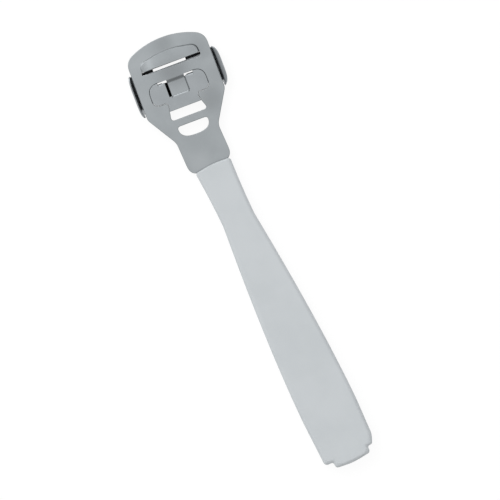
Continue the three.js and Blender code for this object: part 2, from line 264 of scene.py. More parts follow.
def ring(name: str, points: Sequence[Point], z: float = 0.0, filled: bool = False) -> bpy.types.Object:
    """Adds a circle and shapes it into a flat outline.

    Args:
        name: The object's name.
        points: The outline's points.
        z: Its height.
        filled: Whether it is one face or only a wire.

    Returns:
        The new object.
    """
    deselect_all()
    fill = "NGON" if filled else "NOTHING"
    bpy.ops.mesh.primitive_circle_add(vertices=len(points), fill_type=fill)
    piece = bpy.context.object
    piece.name = name
    place_vertices(piece, [(x, y, z) for x, y in points])
    return piece


def patch(name: str, rows: Sequence[Sequence[Place]]) -> bpy.types.Object:
    """Adds a grid and shapes it so that its rows run through the given places.

    Args:
        name: The object's name.
        rows: Rows of places, each as long as the first.

    Returns:
        The new object.
    """
    deselect_all()
    across = len(rows[0])
    bpy.ops.mesh.primitive_grid_add(x_subdivisions=across - 1, y_subdivisions=len(rows) - 1)
    piece = bpy.context.object
    piece.name = name
    place_vertices(piece, [place for row in rows for place in row])
    return piece


def join(name: str, pieces: Sequence[bpy.types.Object]) -> bpy.types.Object:
    """Joins objects into the first one and welds the vertices that meet.

    Args:
        name: The joined object's name.
        pieces: The objects.

    Returns:
        The joined object.
    """
    activate(pieces[0])
    for piece in pieces:
        piece.select_set(True)
    bpy.ops.object.join()
    joined = bpy.context.object
    joined.name = name
    in_edit_mode(joined, weld)
    return joined


def weld(mesh: bmesh.types.BMesh) -> None:
    """Merges vertices that lie together and points the faces one way.

    Args:
        mesh: The edit mesh.
    """
    bpy.ops.mesh.select_all(action="SELECT")
    bpy.ops.mesh.remove_doubles(threshold=WELD)
    bpy.ops.mesh.normals_make_consistent(inside=False)
    if mesh.calc_volume(signed=True) < 0:
        bpy.ops.mesh.flip_normals()


def in_edit_mode(piece: bpy.types.Object, work: Callable[[bmesh.types.BMesh], None]) -> None:
    """Runs one job in edit mode.

    Args:
        piece: The object to edit.
        work: A function that takes the edit mesh, selects in it and calls operators.
    """
    activate(piece)
    bpy.ops.object.mode_set(mode="EDIT")
    bpy.ops.mesh.select_mode(type="VERT")
    bpy.ops.mesh.select_all(action="DESELECT")
    work(bmesh.from_edit_mesh(piece.data))
    bpy.ops.object.mode_set(mode="OBJECT")


def put_in_order(mesh: bmesh.types.BMesh) -> None:
    """Orders a mesh's elements by where they lie, so that later steps go the same way every time.

    Args:
        mesh: The edit mesh.
    """
    mesh.verts.sort(key=lambda vertex: vertex.co.dot(ORDER))
    mesh.edges.sort(key=lambda edge: (edge.verts[0].co + edge.verts[1].co).dot(ORDER))
    mesh.faces.sort(key=lambda face: face.calc_center_median().dot(ORDER))


def edge_between(start: Place, stop: Place) -> EdgeTest:
    """Makes a test for the edge that runs between two places.

    Args:
        start: The place of one end.
        stop: The place of the other end.

    Returns:
        A test of an edge's two end points, in either order.
    """

    def near(point: Vector, place: Place) -> bool:
        """Tells whether a point lies at a place."""
        return (point - Vector(place)).length < 2 * WELD

    return lambda a, b: (near(a, start) and near(b, stop)) or (near(a, stop) and near(b, start))


def select_edges(piece: bpy.types.Object, wanted: EdgeTest) -> None:
    """Selects, in edit mode, just the edges whose two ends pass a test.

    Args:
        piece: The object in edit mode.
        wanted: A test of an edge's two end points.
    """
    bpy.ops.mesh.select_mode(type="EDGE")
    bpy.ops.mesh.select_all(action="DESELECT")
    mesh = bmesh.from_edit_mesh(piece.data)
    for edge in mesh.edges:
        edge.select_set(wanted(edge.verts[0].co, edge.verts[1].co))
    mesh.select_flush_mode()
    bmesh.update_edit_mesh(piece.data)


def extrude(step: Place) -> None:
    """Extrudes what is selected in edit mode by a step."""
    bpy.ops.mesh.extrude_region_move(TRANSFORM_OT_translate={"value": step})


def apply_modifier(piece: bpy.types.Object, kind: str, **settings: object) -> None:
    """Adds a modifier, sets it and applies it.

    Args:
        piece: The object.
        kind: The modifier's type.
        **settings: Its settings, by their property names.
    """
    activate(piece)
    modifier = piece.modifiers.new(kind.lower(), kind)
    for key, value in settings.items():
        setattr(modifier, key, value)
    bpy.ops.object.modifier_apply(modifier=modifier.name)


def soften(
    piece: bpy.types.Object,
    edge: float,
    segments: int = 3,
    angle: float = SHARP_DEGREES,
    skip: Callable[[Vector], bool] = lambda middle: False,
) -> None:
    """Rounds the sharp edges of a closed piece.

    Args:
        piece: The object.
        edge: How far the edges are rounded.
        segments: The steps of that rounding.
        angle: The least angle of a sharp edge, in degrees.
        skip: Tells from an edge's middle whether it is too tight to be rounded.
    """
    in_edit_mode(piece, put_in_order)
    in_edit_mode(piece, weld)
    while len(piece.data.materials) < 2:
        piece.data.materials.append(None)

    def round_edges(mesh: bmesh.types.BMesh) -> None:
        """Selects the sharp edges and rounds them into the second material slot.

        Args:
            mesh: The edit mesh.
        """
        bpy.ops.mesh.select_mode(type="EDGE")
        for line in mesh.edges:
            middle = (line.verts[0].co + line.verts[1].co) / 2
            line.select_set(line.calc_face_angle(0.0) > math.radians(angle) and not skip(middle))
        bpy.ops.mesh.bevel(
            offset=edge,
            segments=segments,
            affect="EDGES",
            clamp_overlap=False,
            loop_slide=False,
            material=1,
        )

    for job in (round_edges, put_in_order, weld, true_up, put_in_order):
        in_edit_mode(piece, job)


def true_up(mesh: bmesh.types.BMesh) -> None:
    """Brings the corners of large level faces back into one plane.

    Args:
        mesh: The edit mesh.
    """
    for face in mesh.faces:
        if abs(face.normal.z) > LARGE_LEVEL and face.calc_area() > LARGE_AREA:
            heights = sorted(vertex.co.z for vertex in face.verts)
            for vertex in face.verts:
                vertex.co.z = heights[len(heights) // 2]


def smooth(piece: bpy.types.Object) -> None:
    """Shades a piece smooth, with its level faces kept flat.

    Args:
        piece: The object.
    """

    def favour_level(mesh: bmesh.types.BMesh) -> None:
        """Gives level faces the say over the shading where they meet curved ones.

        Args:
            mesh: The edit mesh.
        """
        bpy.ops.mesh.select_mode(type="FACE")
        for face in mesh.faces:
            face.select_set(abs(face.normal.z) > LEVEL)
        bpy.ops.mesh.mod_weighted_strength(set=True, face_strength="STRONG")

    in_edit_mode(piece, favour_level)
    activate(piece)
    bpy.ops.object.shade_smooth_by_angle(angle=math.radians(SHARP_DEGREES))
    apply_modifier(
        piece,
        "WEIGHTED_NORMAL",
        mode="FACE_AREA",
        weight=LEVEL_WEIGHT,
        keep_sharp=True,
        use_face_influence=True,
    )


def mark_edges(piece: bpy.types.Object, also: Callable[[Vector], bool] = lambda middle: False) -> None:
    """Marks the faces that rounding gave the second material slot, so that a finish can follow edges.

    Args:
        piece: The object.
        also: Tells from a face's middle whether it is marked as well.
    """
    marks = piece.data.attributes.new(EDGE_MARK, "FLOAT", "FACE")
    for face, mark in zip(piece.data.polygons, marks.data, strict=True):
        mark.value = float(face.material_index == 1 or also(face.center))


def mark_shade(piece: bpy.types.Object, amount: Callable[[Vector, Vector], float]) -> None:
    """Marks how much painted shade each face gets, so that a finish can darken its colour where shade
    falls.

    Args:
        piece: The object.
        amount: Gives the painted shade, from 0 to 1, from a face's middle and its normal.
    """
    marks = piece.data.attributes.new(SHADE_MARK, "FLOAT", "FACE")
    for face, mark in zip(piece.data.polygons, marks.data, strict=True):
        mark.value = amount(face.center, face.normal)


def settle(piece: bpy.types.Object, placement: Matrix) -> None:
    """Puts a finished piece in its place, in metres, with the object itself at the origin."""
    piece.data.transform(placement)
    piece.matrix_world = Matrix.Identity(4)


# Finishes


class Nodes:
    """A node tree that is being wired."""

    MIX_SHARE = 0
    MIX_COLORS = (6, 7)
    MIX_RESULT = 2

    def __init__(self, tree: bpy.types.NodeTree) -> None:
        """Takes the tree to add to."""
        self.tree = tree

    def add(
        self, kind: str, values: dict[str | int, object] | None = None, **settings: object
    ) -> bpy.types.Node:
        """Adds a node.

        Args:
            kind: The node's type.
            values: What its inputs hold, or the sockets that they are linked from, by name or number.
            **settings: Its own properties.

        Returns:
            The node.
        """
        node = self.tree.nodes.new(kind)
        for key, value in settings.items():
            setattr(node, key, value)
        for key, value in (values or {}).items():
            self.feed(node.inputs[key], value)
        return node

    def feed(self, socket: bpy.types.NodeSocket, value: object) -> None:
        """Links a socket from another one, or sets its value.

        Args:
            socket: The input socket.
            value: The socket that it is linked from, or its value.
        """
        if isinstance(value, bpy.types.NodeSocket):
            self.tree.links.new(value, socket)
        else:
            socket.default_value = value

    def math(self, operation: str, a: object, b: object = 0.0, c: object = 0.0) -> bpy.types.NodeSocket:
        """Adds a sum and gives its result."""
        return self.add("ShaderNodeMath", {0: a, 1: b, 2: c}, operation=operation).outputs[0]

    def vector(
        self, operation: str, a: object, b: object, result: str = "Vector"
    ) -> bpy.types.NodeSocket:
        """Adds a sum of two vectors and gives the named result."""
        return self.add("ShaderNodeVectorMath", {0: a, 1: b}, operation=operation).outputs[result]

    def noise(
        self, vector: object, scale: object, detail: float, roughness: float
    ) -> bpy.types.NodeSocket:
        """Adds soft noise and gives its value."""
        values = {"Vector": vector, "Scale": scale, "Detail": detail, "Roughness": roughness}
        return self.add("ShaderNodeTexNoise", values).outputs[0]

    def blend(self, share: object, a: object, b: object) -> bpy.types.NodeSocket:
        """Adds a mix of two colours and gives its result."""
        values = {self.MIX_SHARE: share, self.MIX_COLORS[0]: a, self.MIX_COLORS[1]: b}
        return self.add("ShaderNodeMix", values, data_type="RGBA").outputs[self.MIX_RESULT]

    def group(self, tree: bpy.types.NodeTree, values: dict[str | int, object]) -> bpy.types.Node:
        """Places a shared group with its own values."""
        return self.add("ShaderNodeGroup", values, node_tree=tree)


class FinishGroups:
    """The effects that the finishes use more than once, each a node group that is built once."""

    FINER = 2.7
    FINE_SHARE = 0.5
    CLOUD_RANGE = (0.3, 0.7)
    BREAK_RANGE = (0.35, 0.6)
    VALUE = "NodeSocketFloat"
    VECTOR = "NodeSocketVector"

    def __init__(self) -> None:
        """Builds the groups."""
        self.grain = self._grain()
        self.mottle = self._mottle()
        self.edge_wear_and_light = self._broken_edge_mask()
        self.soft_patch = self._soft_patch()

    def _new(
        self, name: str, inputs: Sequence[str], outputs: Sequence[str], vectors: Sequence[str] = ("Vector",)
    ) -> tuple[Nodes, dict[str, bpy.types.NodeSocket], bpy.types.Node]:
        """Starts a group.

        Args:
            name: Its name.
            inputs: The names of its inputs.
            outputs: The names of its outputs, which are all plain values.
            vectors: Which of its inputs are vectors. The others are plain values.

        Returns:
            The group's nodes, its input sockets by name and its output node.
        """
        tree = bpy.data.node_groups.new(name, "ShaderNodeTree")
        for key in inputs:
            kind = self.VECTOR if key in vectors else self.VALUE
            tree.interface.new_socket(name=key, in_out="INPUT", socket_type=kind)
        for key in outputs:
            tree.interface.new_socket(name=key, in_out="OUTPUT", socket_type=self.VALUE)
        nodes = Nodes(tree)
        entry = nodes.add("NodeGroupInput")
        sockets = {key: entry.outputs[key] for key in inputs}
        return nodes, sockets, nodes.add("NodeGroupOutput")

    def _grain(self) -> bpy.types.NodeTree:
        """Builds fine grain, drawn out along one axis, as a value and as a height.

        Returns:
            The group.
        """
        nodes, entry, leave = self._new("fine_grain", ("Vector", "Scale", "Stretch"), ("Value", "Height"))
        drawn = nodes.add("ShaderNodeCombineXYZ", {"X": entry["Stretch"], "Y": 1.0, "Z": 1.0})
        mapped = nodes.vector("MULTIPLY", entry["Vector"], drawn.outputs[0])
        coarse = nodes.noise(mapped, entry["Scale"], detail=3.0, roughness=0.6)
        finer = nodes.math("MULTIPLY", entry["Scale"], self.FINER)
        fine = nodes.noise(mapped, finer, detail=2.0, roughness=0.5)
        nodes.feed(leave.inputs["Value"], coarse)
        nodes.feed(leave.inputs["Height"], nodes.math("MULTIPLY_ADD", fine, self.FINE_SHARE, coarse))
        return nodes.tree

    def _mottle(self) -> bpy.types.NodeTree:
        """Builds soft clouds between two values.

        Returns:
            The group.
        """
        nodes, entry, leave = self._new("soft_mottle", ("Vector", "Scale", "Low", "High"), ("Value",))
        low, high = self.CLOUD_RANGE
        spread = nodes.add(
            "ShaderNodeMapRange",
            {
                "Value": nodes.noise(entry["Vector"], entry["Scale"], detail=4.0, roughness=0.55),
                "From Min": low,
                "From Max": high,
                "To Min": entry["Low"],
                "To Max": entry["High"],
            },
            interpolation_type="SMOOTHSTEP",
        )
        nodes.feed(leave.inputs["Value"], spread.outputs[0])
        return nodes.tree

    def _soft_patch(self) -> bpy.types.NodeTree:
        """Builds a round patch that fades out towards its radius.

        Returns:
            The group.
        """
        inputs = ("Vector", "Centre", "Radius")
        nodes, entry, leave = self._new("soft_patch", inputs, ("Mask",), vectors=("Vector", "Centre"))
        fade = nodes.add(
            "ShaderNodeMapRange",
            {
                "Value": nodes.vector("DISTANCE", entry["Vector"], entry["Centre"], "Value"),
                "From Min": 0.0,
                "From Max": entry["Radius"],
                "To Min": 1.0,
                "To Max": 0.0,
            },
            interpolation_type="SMOOTHERSTEP",
        )
        nodes.feed(leave.inputs["Mask"], fade.outputs[0])
        return nodes.tree

    def _broken_edge_mask(self) -> bpy.types.NodeTree:
        """Builds a broken mask on marked edges, for edge wear and for painted shade and highlight along
        edges.

        Returns:
            The group.
        """
        nodes, entry, leave = self._new("edge_break_mask", ("Vector", "Mark", "Scale", "Amount"), ("Mask",))
        breaks = nodes.noise(entry["Vector"], entry["Scale"], detail=3.0, roughness=0.6)
        low, high = self.BREAK_RANGE
        kept = nodes.add("ShaderNodeMapRange", {"Value": breaks, "From Min": low, "From Max": high})
        broken_edges = nodes.math("MULTIPLY", kept.outputs[0], entry["Mark"])
        nodes.feed(leave.inputs["Mask"], nodes.math("MULTIPLY", broken_edges, entry["Amount"]))
        return nodes.tree


@dataclass(frozen=True)
class Finish:
    """What every finish of the tool has: two close tones, a roughness and a fine grain."""

    name: str
    slot: Slot
    tone: Color
    shade: Color
    edge_wear_and_light_tone: Color
    roughness: float
    roughness_spread: float
    mottle_scale: float
    grain_scale: float
    grain_stretch: float
    grain_depth: float
    edge_wear_and_light: float
    metallic: float = 0.0
    specular: float = 0.5
    speckle: float = 0.5
    edge_break_fineness: float = 6.0
    # The near-black colour of painted shade, which faces blend towards by their shade mark
    painted_recess_shade: Color = (0.012, 0.012, 0.013, 1.0)

    def build(self, groups: FinishGroups) -> bpy.types.Material:
        """Builds the material.

        Args:
            groups: The shared node groups.

        Returns:
            The material.
        """
        material = bpy.data.materials.new(self.name)
        material.use_nodes = True
        nodes = Nodes(material.node_tree)
        shader = material.node_tree.nodes["Principled BSDF"]
        shader.inputs["Metallic"].default_value = self.metallic
        shader.inputs["Specular IOR Level"].default_value = self.specular
        place = nodes.add("ShaderNodeTexCoord").outputs["Object"]
        clouds = {"Vector": place, "Scale": self.mottle_scale, "Low": 0.0, "High": 1.0}
        mottle = nodes.group(groups.mottle, clouds).outputs["Value"]
        lines = {"Vector": place, "Scale": self.grain_scale, "Stretch": self.grain_stretch}
        grain = nodes.group(groups.grain, lines)
        mark = nodes.add("ShaderNodeAttribute", attribute_name=EDGE_MARK).outputs["Fac"]
        edge_break_scale = self.mottle_scale * self.edge_break_fineness
        edges = {"Vector": place, "Mark": mark, "Scale": edge_break_scale, "Amount": self.edge_wear_and_light}
        edge_wear_and_light = nodes.group(groups.edge_wear_and_light, edges).outputs["Mask"]
        below = -self.speckle * GRAIN_MEAN
        speckle = nodes.math("MULTIPLY_ADD", grain.outputs["Value"], self.speckle, below)
        clouded = nodes.math("ADD", mottle, speckle)
        body = self.paint_light_and_shade(nodes, groups, place, nodes.blend(clouded, self.shade, self.tone))
        # Faces marked with shade take painted shade, dark where gaps and recesses lie in shadow
        painted_shade = nodes.add("ShaderNodeAttribute", attribute_name=SHADE_MARK).outputs["Fac"]
        # Marked edges move to the edge tone: wear on the handle, painted shade along the plate's and clip's
        # edges, and a painted highlight on the blade's honed edge, partly its real polish
        edged = nodes.blend(edge_wear_and_light, body, self.edge_wear_and_light_tone)
        nodes.feed(shader.inputs["Base Color"], nodes.blend(painted_shade, edged, self.painted_recess_shade))
        uneven = nodes.math("SUBTRACT", grain.outputs["Value"], GRAIN_MEAN)
        rough = nodes.math("MULTIPLY_ADD", uneven, self.roughness_spread, self.roughness)
        polished = nodes.math("MULTIPLY_ADD", edge_wear_and_light, -self.roughness_spread, rough)
        nodes.feed(shader.inputs["Roughness"], polished)
        bump = nodes.add(
            "ShaderNodeBump",
            {"Height": grain.outputs["Height"], "Distance": self.grain_depth * MM, "Strength": 1.0},
        )
        nodes.feed(shader.inputs["Normal"], bump.outputs["Normal"])
        return material

    def paint_light_and_shade(
        self,
        nodes: Nodes,
        groups: FinishGroups,
        place: bpy.types.NodeSocket,
        body: bpy.types.NodeSocket,
    ) -> bpy.types.NodeSocket:
        """Keeps the body colour as it is; some finishes paint light and shade over it here."""
        return body


@dataclass(frozen=True)
class PaintedLightPatch:
    """A soft patch of painted shade on the steel, or of painted sheen if its amount is negative."""

    centre: Place
    radius: float
    amount: float


@dataclass(frozen=True)
class ContactShadowLine:
    """A line of painted contact shadow where the plate enters the handle, along the handle's bowed front
    edge.
    """

    edge_x: float
    bow: float
    width: float
    amount: float


@dataclass(frozen=True)
class PaintedLightFinish(Finish):
    """A finish with patches of painted shade and sheen at given places, and a line of painted contact
    shadow where the plate enters the handle.
    """

    contact_shadow: ContactShadowLine = ContactShadowLine(0.0, 0.0, 0.0, 0.0)
    light_patches: tuple[PaintedLightPatch, ...] = ()
    painted_shade_color: Color = (0.2, 0.213, 0.222, 1.0)
    painted_sheen_color: Color = (0.56, 0.585, 0.6, 1.0)

    def paint_light_and_shade(
        self,
        nodes: Nodes,
        groups: FinishGroups,
        place: bpy.types.NodeSocket,
        body: bpy.types.NodeSocket,
    ) -> bpy.types.NodeSocket:
        """Lays the painted shade and sheen patches and the painted contact shadow line over the body
        colour.

        Args:
            nodes: The material's nodes.
            groups: The shared node groups.
            place: The coordinates.
            body: The body colour.

        Returns:
            The changed colour.
        """
        # Patches of painted shade, and of painted sheen where the amount is negative
        for light_patch in self.light_patches:
            centre = tuple(MM * along for along in light_patch.centre)
            values = {"Vector": place, "Centre": centre, "Radius": light_patch.radius * MM}
            mask = nodes.group(groups.soft_patch, values).outputs["Mask"]
            share = nodes.math("MULTIPLY", mask, abs(light_patch.amount))
            body = nodes.blend(share, body, self.painted_shade_color if light_patch.amount > 0 else self.painted_sheen_color)
        # The painted contact shadow along the handle's bowed front edge
        across = nodes.add("ShaderNodeSeparateXYZ", {"Vector": place}).outputs
        bowed = nodes.math("MULTIPLY", across["Y"], across["Y"])
        edge = nodes.math("MULTIPLY_ADD", bowed, -self.contact_shadow.bow / MM, self.contact_shadow.edge_x * MM)
        away = nodes.math("SUBTRACT", across["X"], edge)
        line = nodes.add(
            "ShaderNodeMapRange",
            {"Value": away, "From Max": self.contact_shadow.width * MM, "To Min": self.contact_shadow.amount, "To Max": 0.0},
            interpolation_type="SMOOTHSTEP",
        )
        return nodes.blend(line.outputs[0], body, self.painted_shade_color)


MOULDED_PLASTIC = Finish(
    name="moulded_handle_plastic",
    slot=Slot.HANDLE,
    tone=(0.584, 0.616, 0.636, 1.0),
    shade=(0.552, 0.585, 0.605, 1.0),
    edge_wear_and_light_tone=(0.64, 0.67, 0.69, 1.0),
    roughness=0.5,
    roughness_spread=0.12,
    mottle_scale=60.0,
    grain_scale=2600.0,
    grain_stretch=0.8,
    grain_depth=0.012,
    edge_wear_and_light=0.5,
)
PRESSED_STEEL = PaintedLightFinish(
    name="satin_pressed_steel",
    slot=Slot.PLATE,
    tone=(0.360, 0.386, 0.400, 1.0),
    shade=(0.330, 0.354, 0.368, 1.0),
    # Darker edges: painted shade along the plate's rounded edges
    edge_wear_and_light_tone=(0.27, 0.287, 0.298, 1.0),
    roughness=0.38,
    roughness_spread=0.1,
    mottle_scale=90.0,
    grain_scale=2200.0,
    grain_stretch=0.25,
    grain_depth=0.006,
    edge_wear_and_light=0.7,
    metallic=1.0,
    # Patches of painted shade, and of painted sheen where the amount is negative
    light_patches=(
        PaintedLightPatch((107.6, -1.8, 3.5), 11.0, 0.55),
        PaintedLightPatch((119.6, -3.3, 3.5), 7.0, 0.3),
        PaintedLightPatch((91.5, -11.1, 3.5), 9.0, 0.4),
        PaintedLightPatch((112.2, -15.8, 3.5), 8.0, 0.3),
        PaintedLightPatch((99.0, -17.5, 3.5), 8.0, 0.2),
        PaintedLightPatch((116.0, 8.5, 3.5), 8.0, -0.1),
        PaintedLightPatch((69.0, 4.0, 3.5), 8.0, -0.2),
    ),
    # A line of painted contact shadow where the plate enters the handle
    contact_shadow=ContactShadowLine(edge_x=66.3, bow=0.0096, width=0.55, amount=0.6),
)
SPRING_STEEL = Finish(
    name="satin_spring_steel",
    slot=Slot.CLIP,
    tone=(0.352, 0.376, 0.392, 1.0),
    shade=(0.322, 0.345, 0.360, 1.0),
    # Slightly darker edges: painted shade along the clip's rounded edges
    edge_wear_and_light_tone=(0.31, 0.326, 0.337, 1.0),
    roughness=0.36,
    roughness_spread=0.1,
    mottle_scale=110.0,
    grain_scale=2400.0,
    grain_stretch=0.4,
    grain_depth=0.006,
    edge_wear_and_light=0.8,
    metallic=1.0,
)
GROUND_STEEL = Finish(
    name="ground_blade_steel",
    slot=Slot.BLADE,
    tone=(0.48, 0.495, 0.505, 1.0),
    shade=(0.42, 0.435, 0.445, 1.0),
    # Much lighter edges and honed facet: a painted highlight, partly the polish of the hone
    edge_wear_and_light_tone=(0.80, 0.81, 0.82, 1.0),
    roughness=0.24,
    roughness_spread=0.08,
    mottle_scale=120.0,
    grain_scale=3000.0,
    grain_stretch=0.15,
    grain_depth=0.004,
    edge_wear_and_light=1.0,
    metallic=1.0,
)


# Pieces


@dataclass
class Piece:
    """A sub-assembly: it builds its mesh, and is dressed in its finish and set on its body."""

    node: str
    body: Body
    finish: Finish

    def build(self) -> bpy.types.Object:
        """Models the piece in millimetres.

        Returns:
            The object, in its own frame.
        """
        raise NotImplementedError

    def placement(self) -> Matrix:
        """Gives where the piece's frame lies in the part, in metres."""
        raise NotImplementedError

    def dress(self, piece: bpy.types.Object, material: bpy.types.Material) -> None:
        """Finishes a built piece: its material, its place and what it stands for.

        Args:
            piece: The object from build.
            material: Its material.
        """
        piece.data.materials.clear()
        piece.data.materials.append(material)
        settle(piece, self.placement())
        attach(piece, self.body.value)
        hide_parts(self.node)


@dataclass
class Handle(Piece):
    """The moulded grip, along its own axis with x running back from its front edge."""

    length: float = 131.4
    thickness: float = 7.0
    front_width: float = 15.8
    waist_width: float = 14.0
    max_width: float = 24.0
    butt_width: float = 23.0
    waist_from_front: float = 24.7
    swell_from_front: float = 112.0
    swell_lead_in: float = 0.02
    swell_lead_out: float = 0.54
    front_bulge: float = 0.8
    front_corner: float = 1.5
    clear_of_nose: float = 2.5
    least_corner: float = 0.25
    front_share: float = 0.4
    butt_corner: float = 2.6
    eased_run: float = 3.8
    eased_width: float = 1.6
    eased_corner: float = 7.0
    step_corner: float = 1.2
    edge_round: float = 1.6
    edge_steps: int = 6
    tongue_width: float = 15.6
    tongue_length: float = 3.4
    butt_crown: float = 0.7
    mouth_depth: float = 0.7
    mouth_height: float = 1.6
    socket_width: float = 9.2
    socket_depth: float = 26.3
    cutter_reach: float = 2.0
    curve_steps: int = 24

    def outline(self, inset: float) -> list[Point]:
        """Draws the handle's plan, from its nose round by the left.

        Args:
            inset: How far it is drawn in.

        Returns:
            The outline's points, as many for every inset.
        """
        half, waist = self.front_width / 2 - inset, self.waist_width / 2 - inset
        swell, tongue = self.max_width / 2 - inset, self.tongue_width / 2 - inset
        third = self.waist_from_front / 3
        run = self.swell_from_front - self.waist_from_front
        neck = cubic(
            (0.0, half),
            (-third, waist + (half - waist) / 3),
            (-2 * third, waist),
            (-self.waist_from_front, waist),
            self.curve_steps,
        )
        flank = cubic(
            (-self.waist_from_front, waist),
            (-self.waist_from_front - self.swell_lead_in * run, waist),
            (-self.waist_from_front - self.swell_lead_out * run, swell),
            (-self.swell_from_front, swell),
            2 * self.curve_steps,
        )
        side = [point for point in neck + flank[1:] if point[0] < -self.clear_of_nose]
        butt_x = inset - self.length
        end_x = butt_x - self.tongue_length
        shoulder = self.butt_width / 2 - inset
        butt_round = self._corner(self.butt_corner, inset)
        step_round = self._corner(self.step_corner, inset)
        front: list[Corner] = [
            (-inset * self.front_share, half, self._corner(self.front_corner, inset)),
            *((x, y, 0.0) for x, y in side),
        ]
        end: list[Corner] = [
            (butt_x, tongue, self.step_corner),
            (end_x + self.butt_crown, tongue, butt_round),
        ]
        eased_shoulder: list[Corner] = [
            (butt_x + self.eased_run, shoulder, self._corner(self.eased_corner, inset)),
            (butt_x, shoulder - self.eased_width, step_round),
        ]
        left = [*front, (butt_x, shoulder, butt_round), *end]
        right = [(x, -y, radius) for x, y, radius in reversed([*front, *eased_shoulder, *end])]
        nose = (self.front_bulge - inset * self.front_share, 0.0, self.length)
        heel = (end_x - self.butt_crown * CROWN_SHARE, 0.0, self.length)
        return rounded([nose, *left, heel, *right])

    def _corner(self, radius: float, inset: float) -> float:
        """Gives a corner's radius once the outline is drawn in."""
        return max(radius - inset, radius * self.least_corner)

    def build(self) -> bpy.types.Object:
        """Models the grip: outlines lofted with rounded rims, and the slot for the head cut in.

        Returns:
            The object, in the handle's frame.
        """
        lower = []
        for angle in arc_rows(self.edge_steps):
            inset = self.edge_round * (1 - math.sin(angle))
            z = self.edge_round * (1 - math.cos(angle)) - self.thickness / 2
            outline = self.outline(inset)
            lower.append([(x, y, z) for x, y in [*outline, outline[0]]])
        upper = [[(x, y, -z) for x, y, z in row] for row in reversed(lower)]
        grip = patch("grip", lower + upper)

        def close(mesh: bmesh.types.BMesh) -> None:
            """Closes the seam of the loft and its flat faces.

            Args:
                mesh: The edit mesh.
            """
            weld(mesh)
            bpy.ops.mesh.fill_holes(sides=0)
            weld(mesh)

        in_edit_mode(grip, close)
        beyond = self.front_bulge + self.cutter_reach
        self._cut(grip, self.mouth_depth, beyond, 2 * self.front_width)
        self._cut(grip, self.socket_depth, beyond, self.socket_width)
        smooth(grip)
        mark_edges(grip)
        return grip

    def _cut(self, grip: bpy.types.Object, depth: float, beyond: float, width: float) -> None:
        """Cuts a slot of the mouth's height into the handle's front.

        Args:
            grip: The object to cut.
            depth: How far back it goes.
            beyond: How far the cutter reaches out in front.
            width: How wide it is.
        """
        deselect_all()
        middle = ((beyond - depth) / 2, 0.0, 0.0)
        size = (depth + beyond, width, self.mouth_height)
        bpy.ops.mesh.primitive_cube_add(size=1, location=middle, scale=size)
        cutter = bpy.context.object
        bpy.ops.object.transform_apply(location=True, rotation=True, scale=True)
        apply_modifier(grip, "BOOLEAN", object=cutter, operation="DIFFERENCE", solver="EXACT")
        bpy.data.objects.remove(cutter)

    def placement(self) -> Matrix:
        """Gives the place of the handle's front edge."""
        spot = Vector((self.length / 2, 0.0, self.thickness / 2)) * MM
        return Matrix.Translation(spot) @ Matrix.Scale(MM, 4)


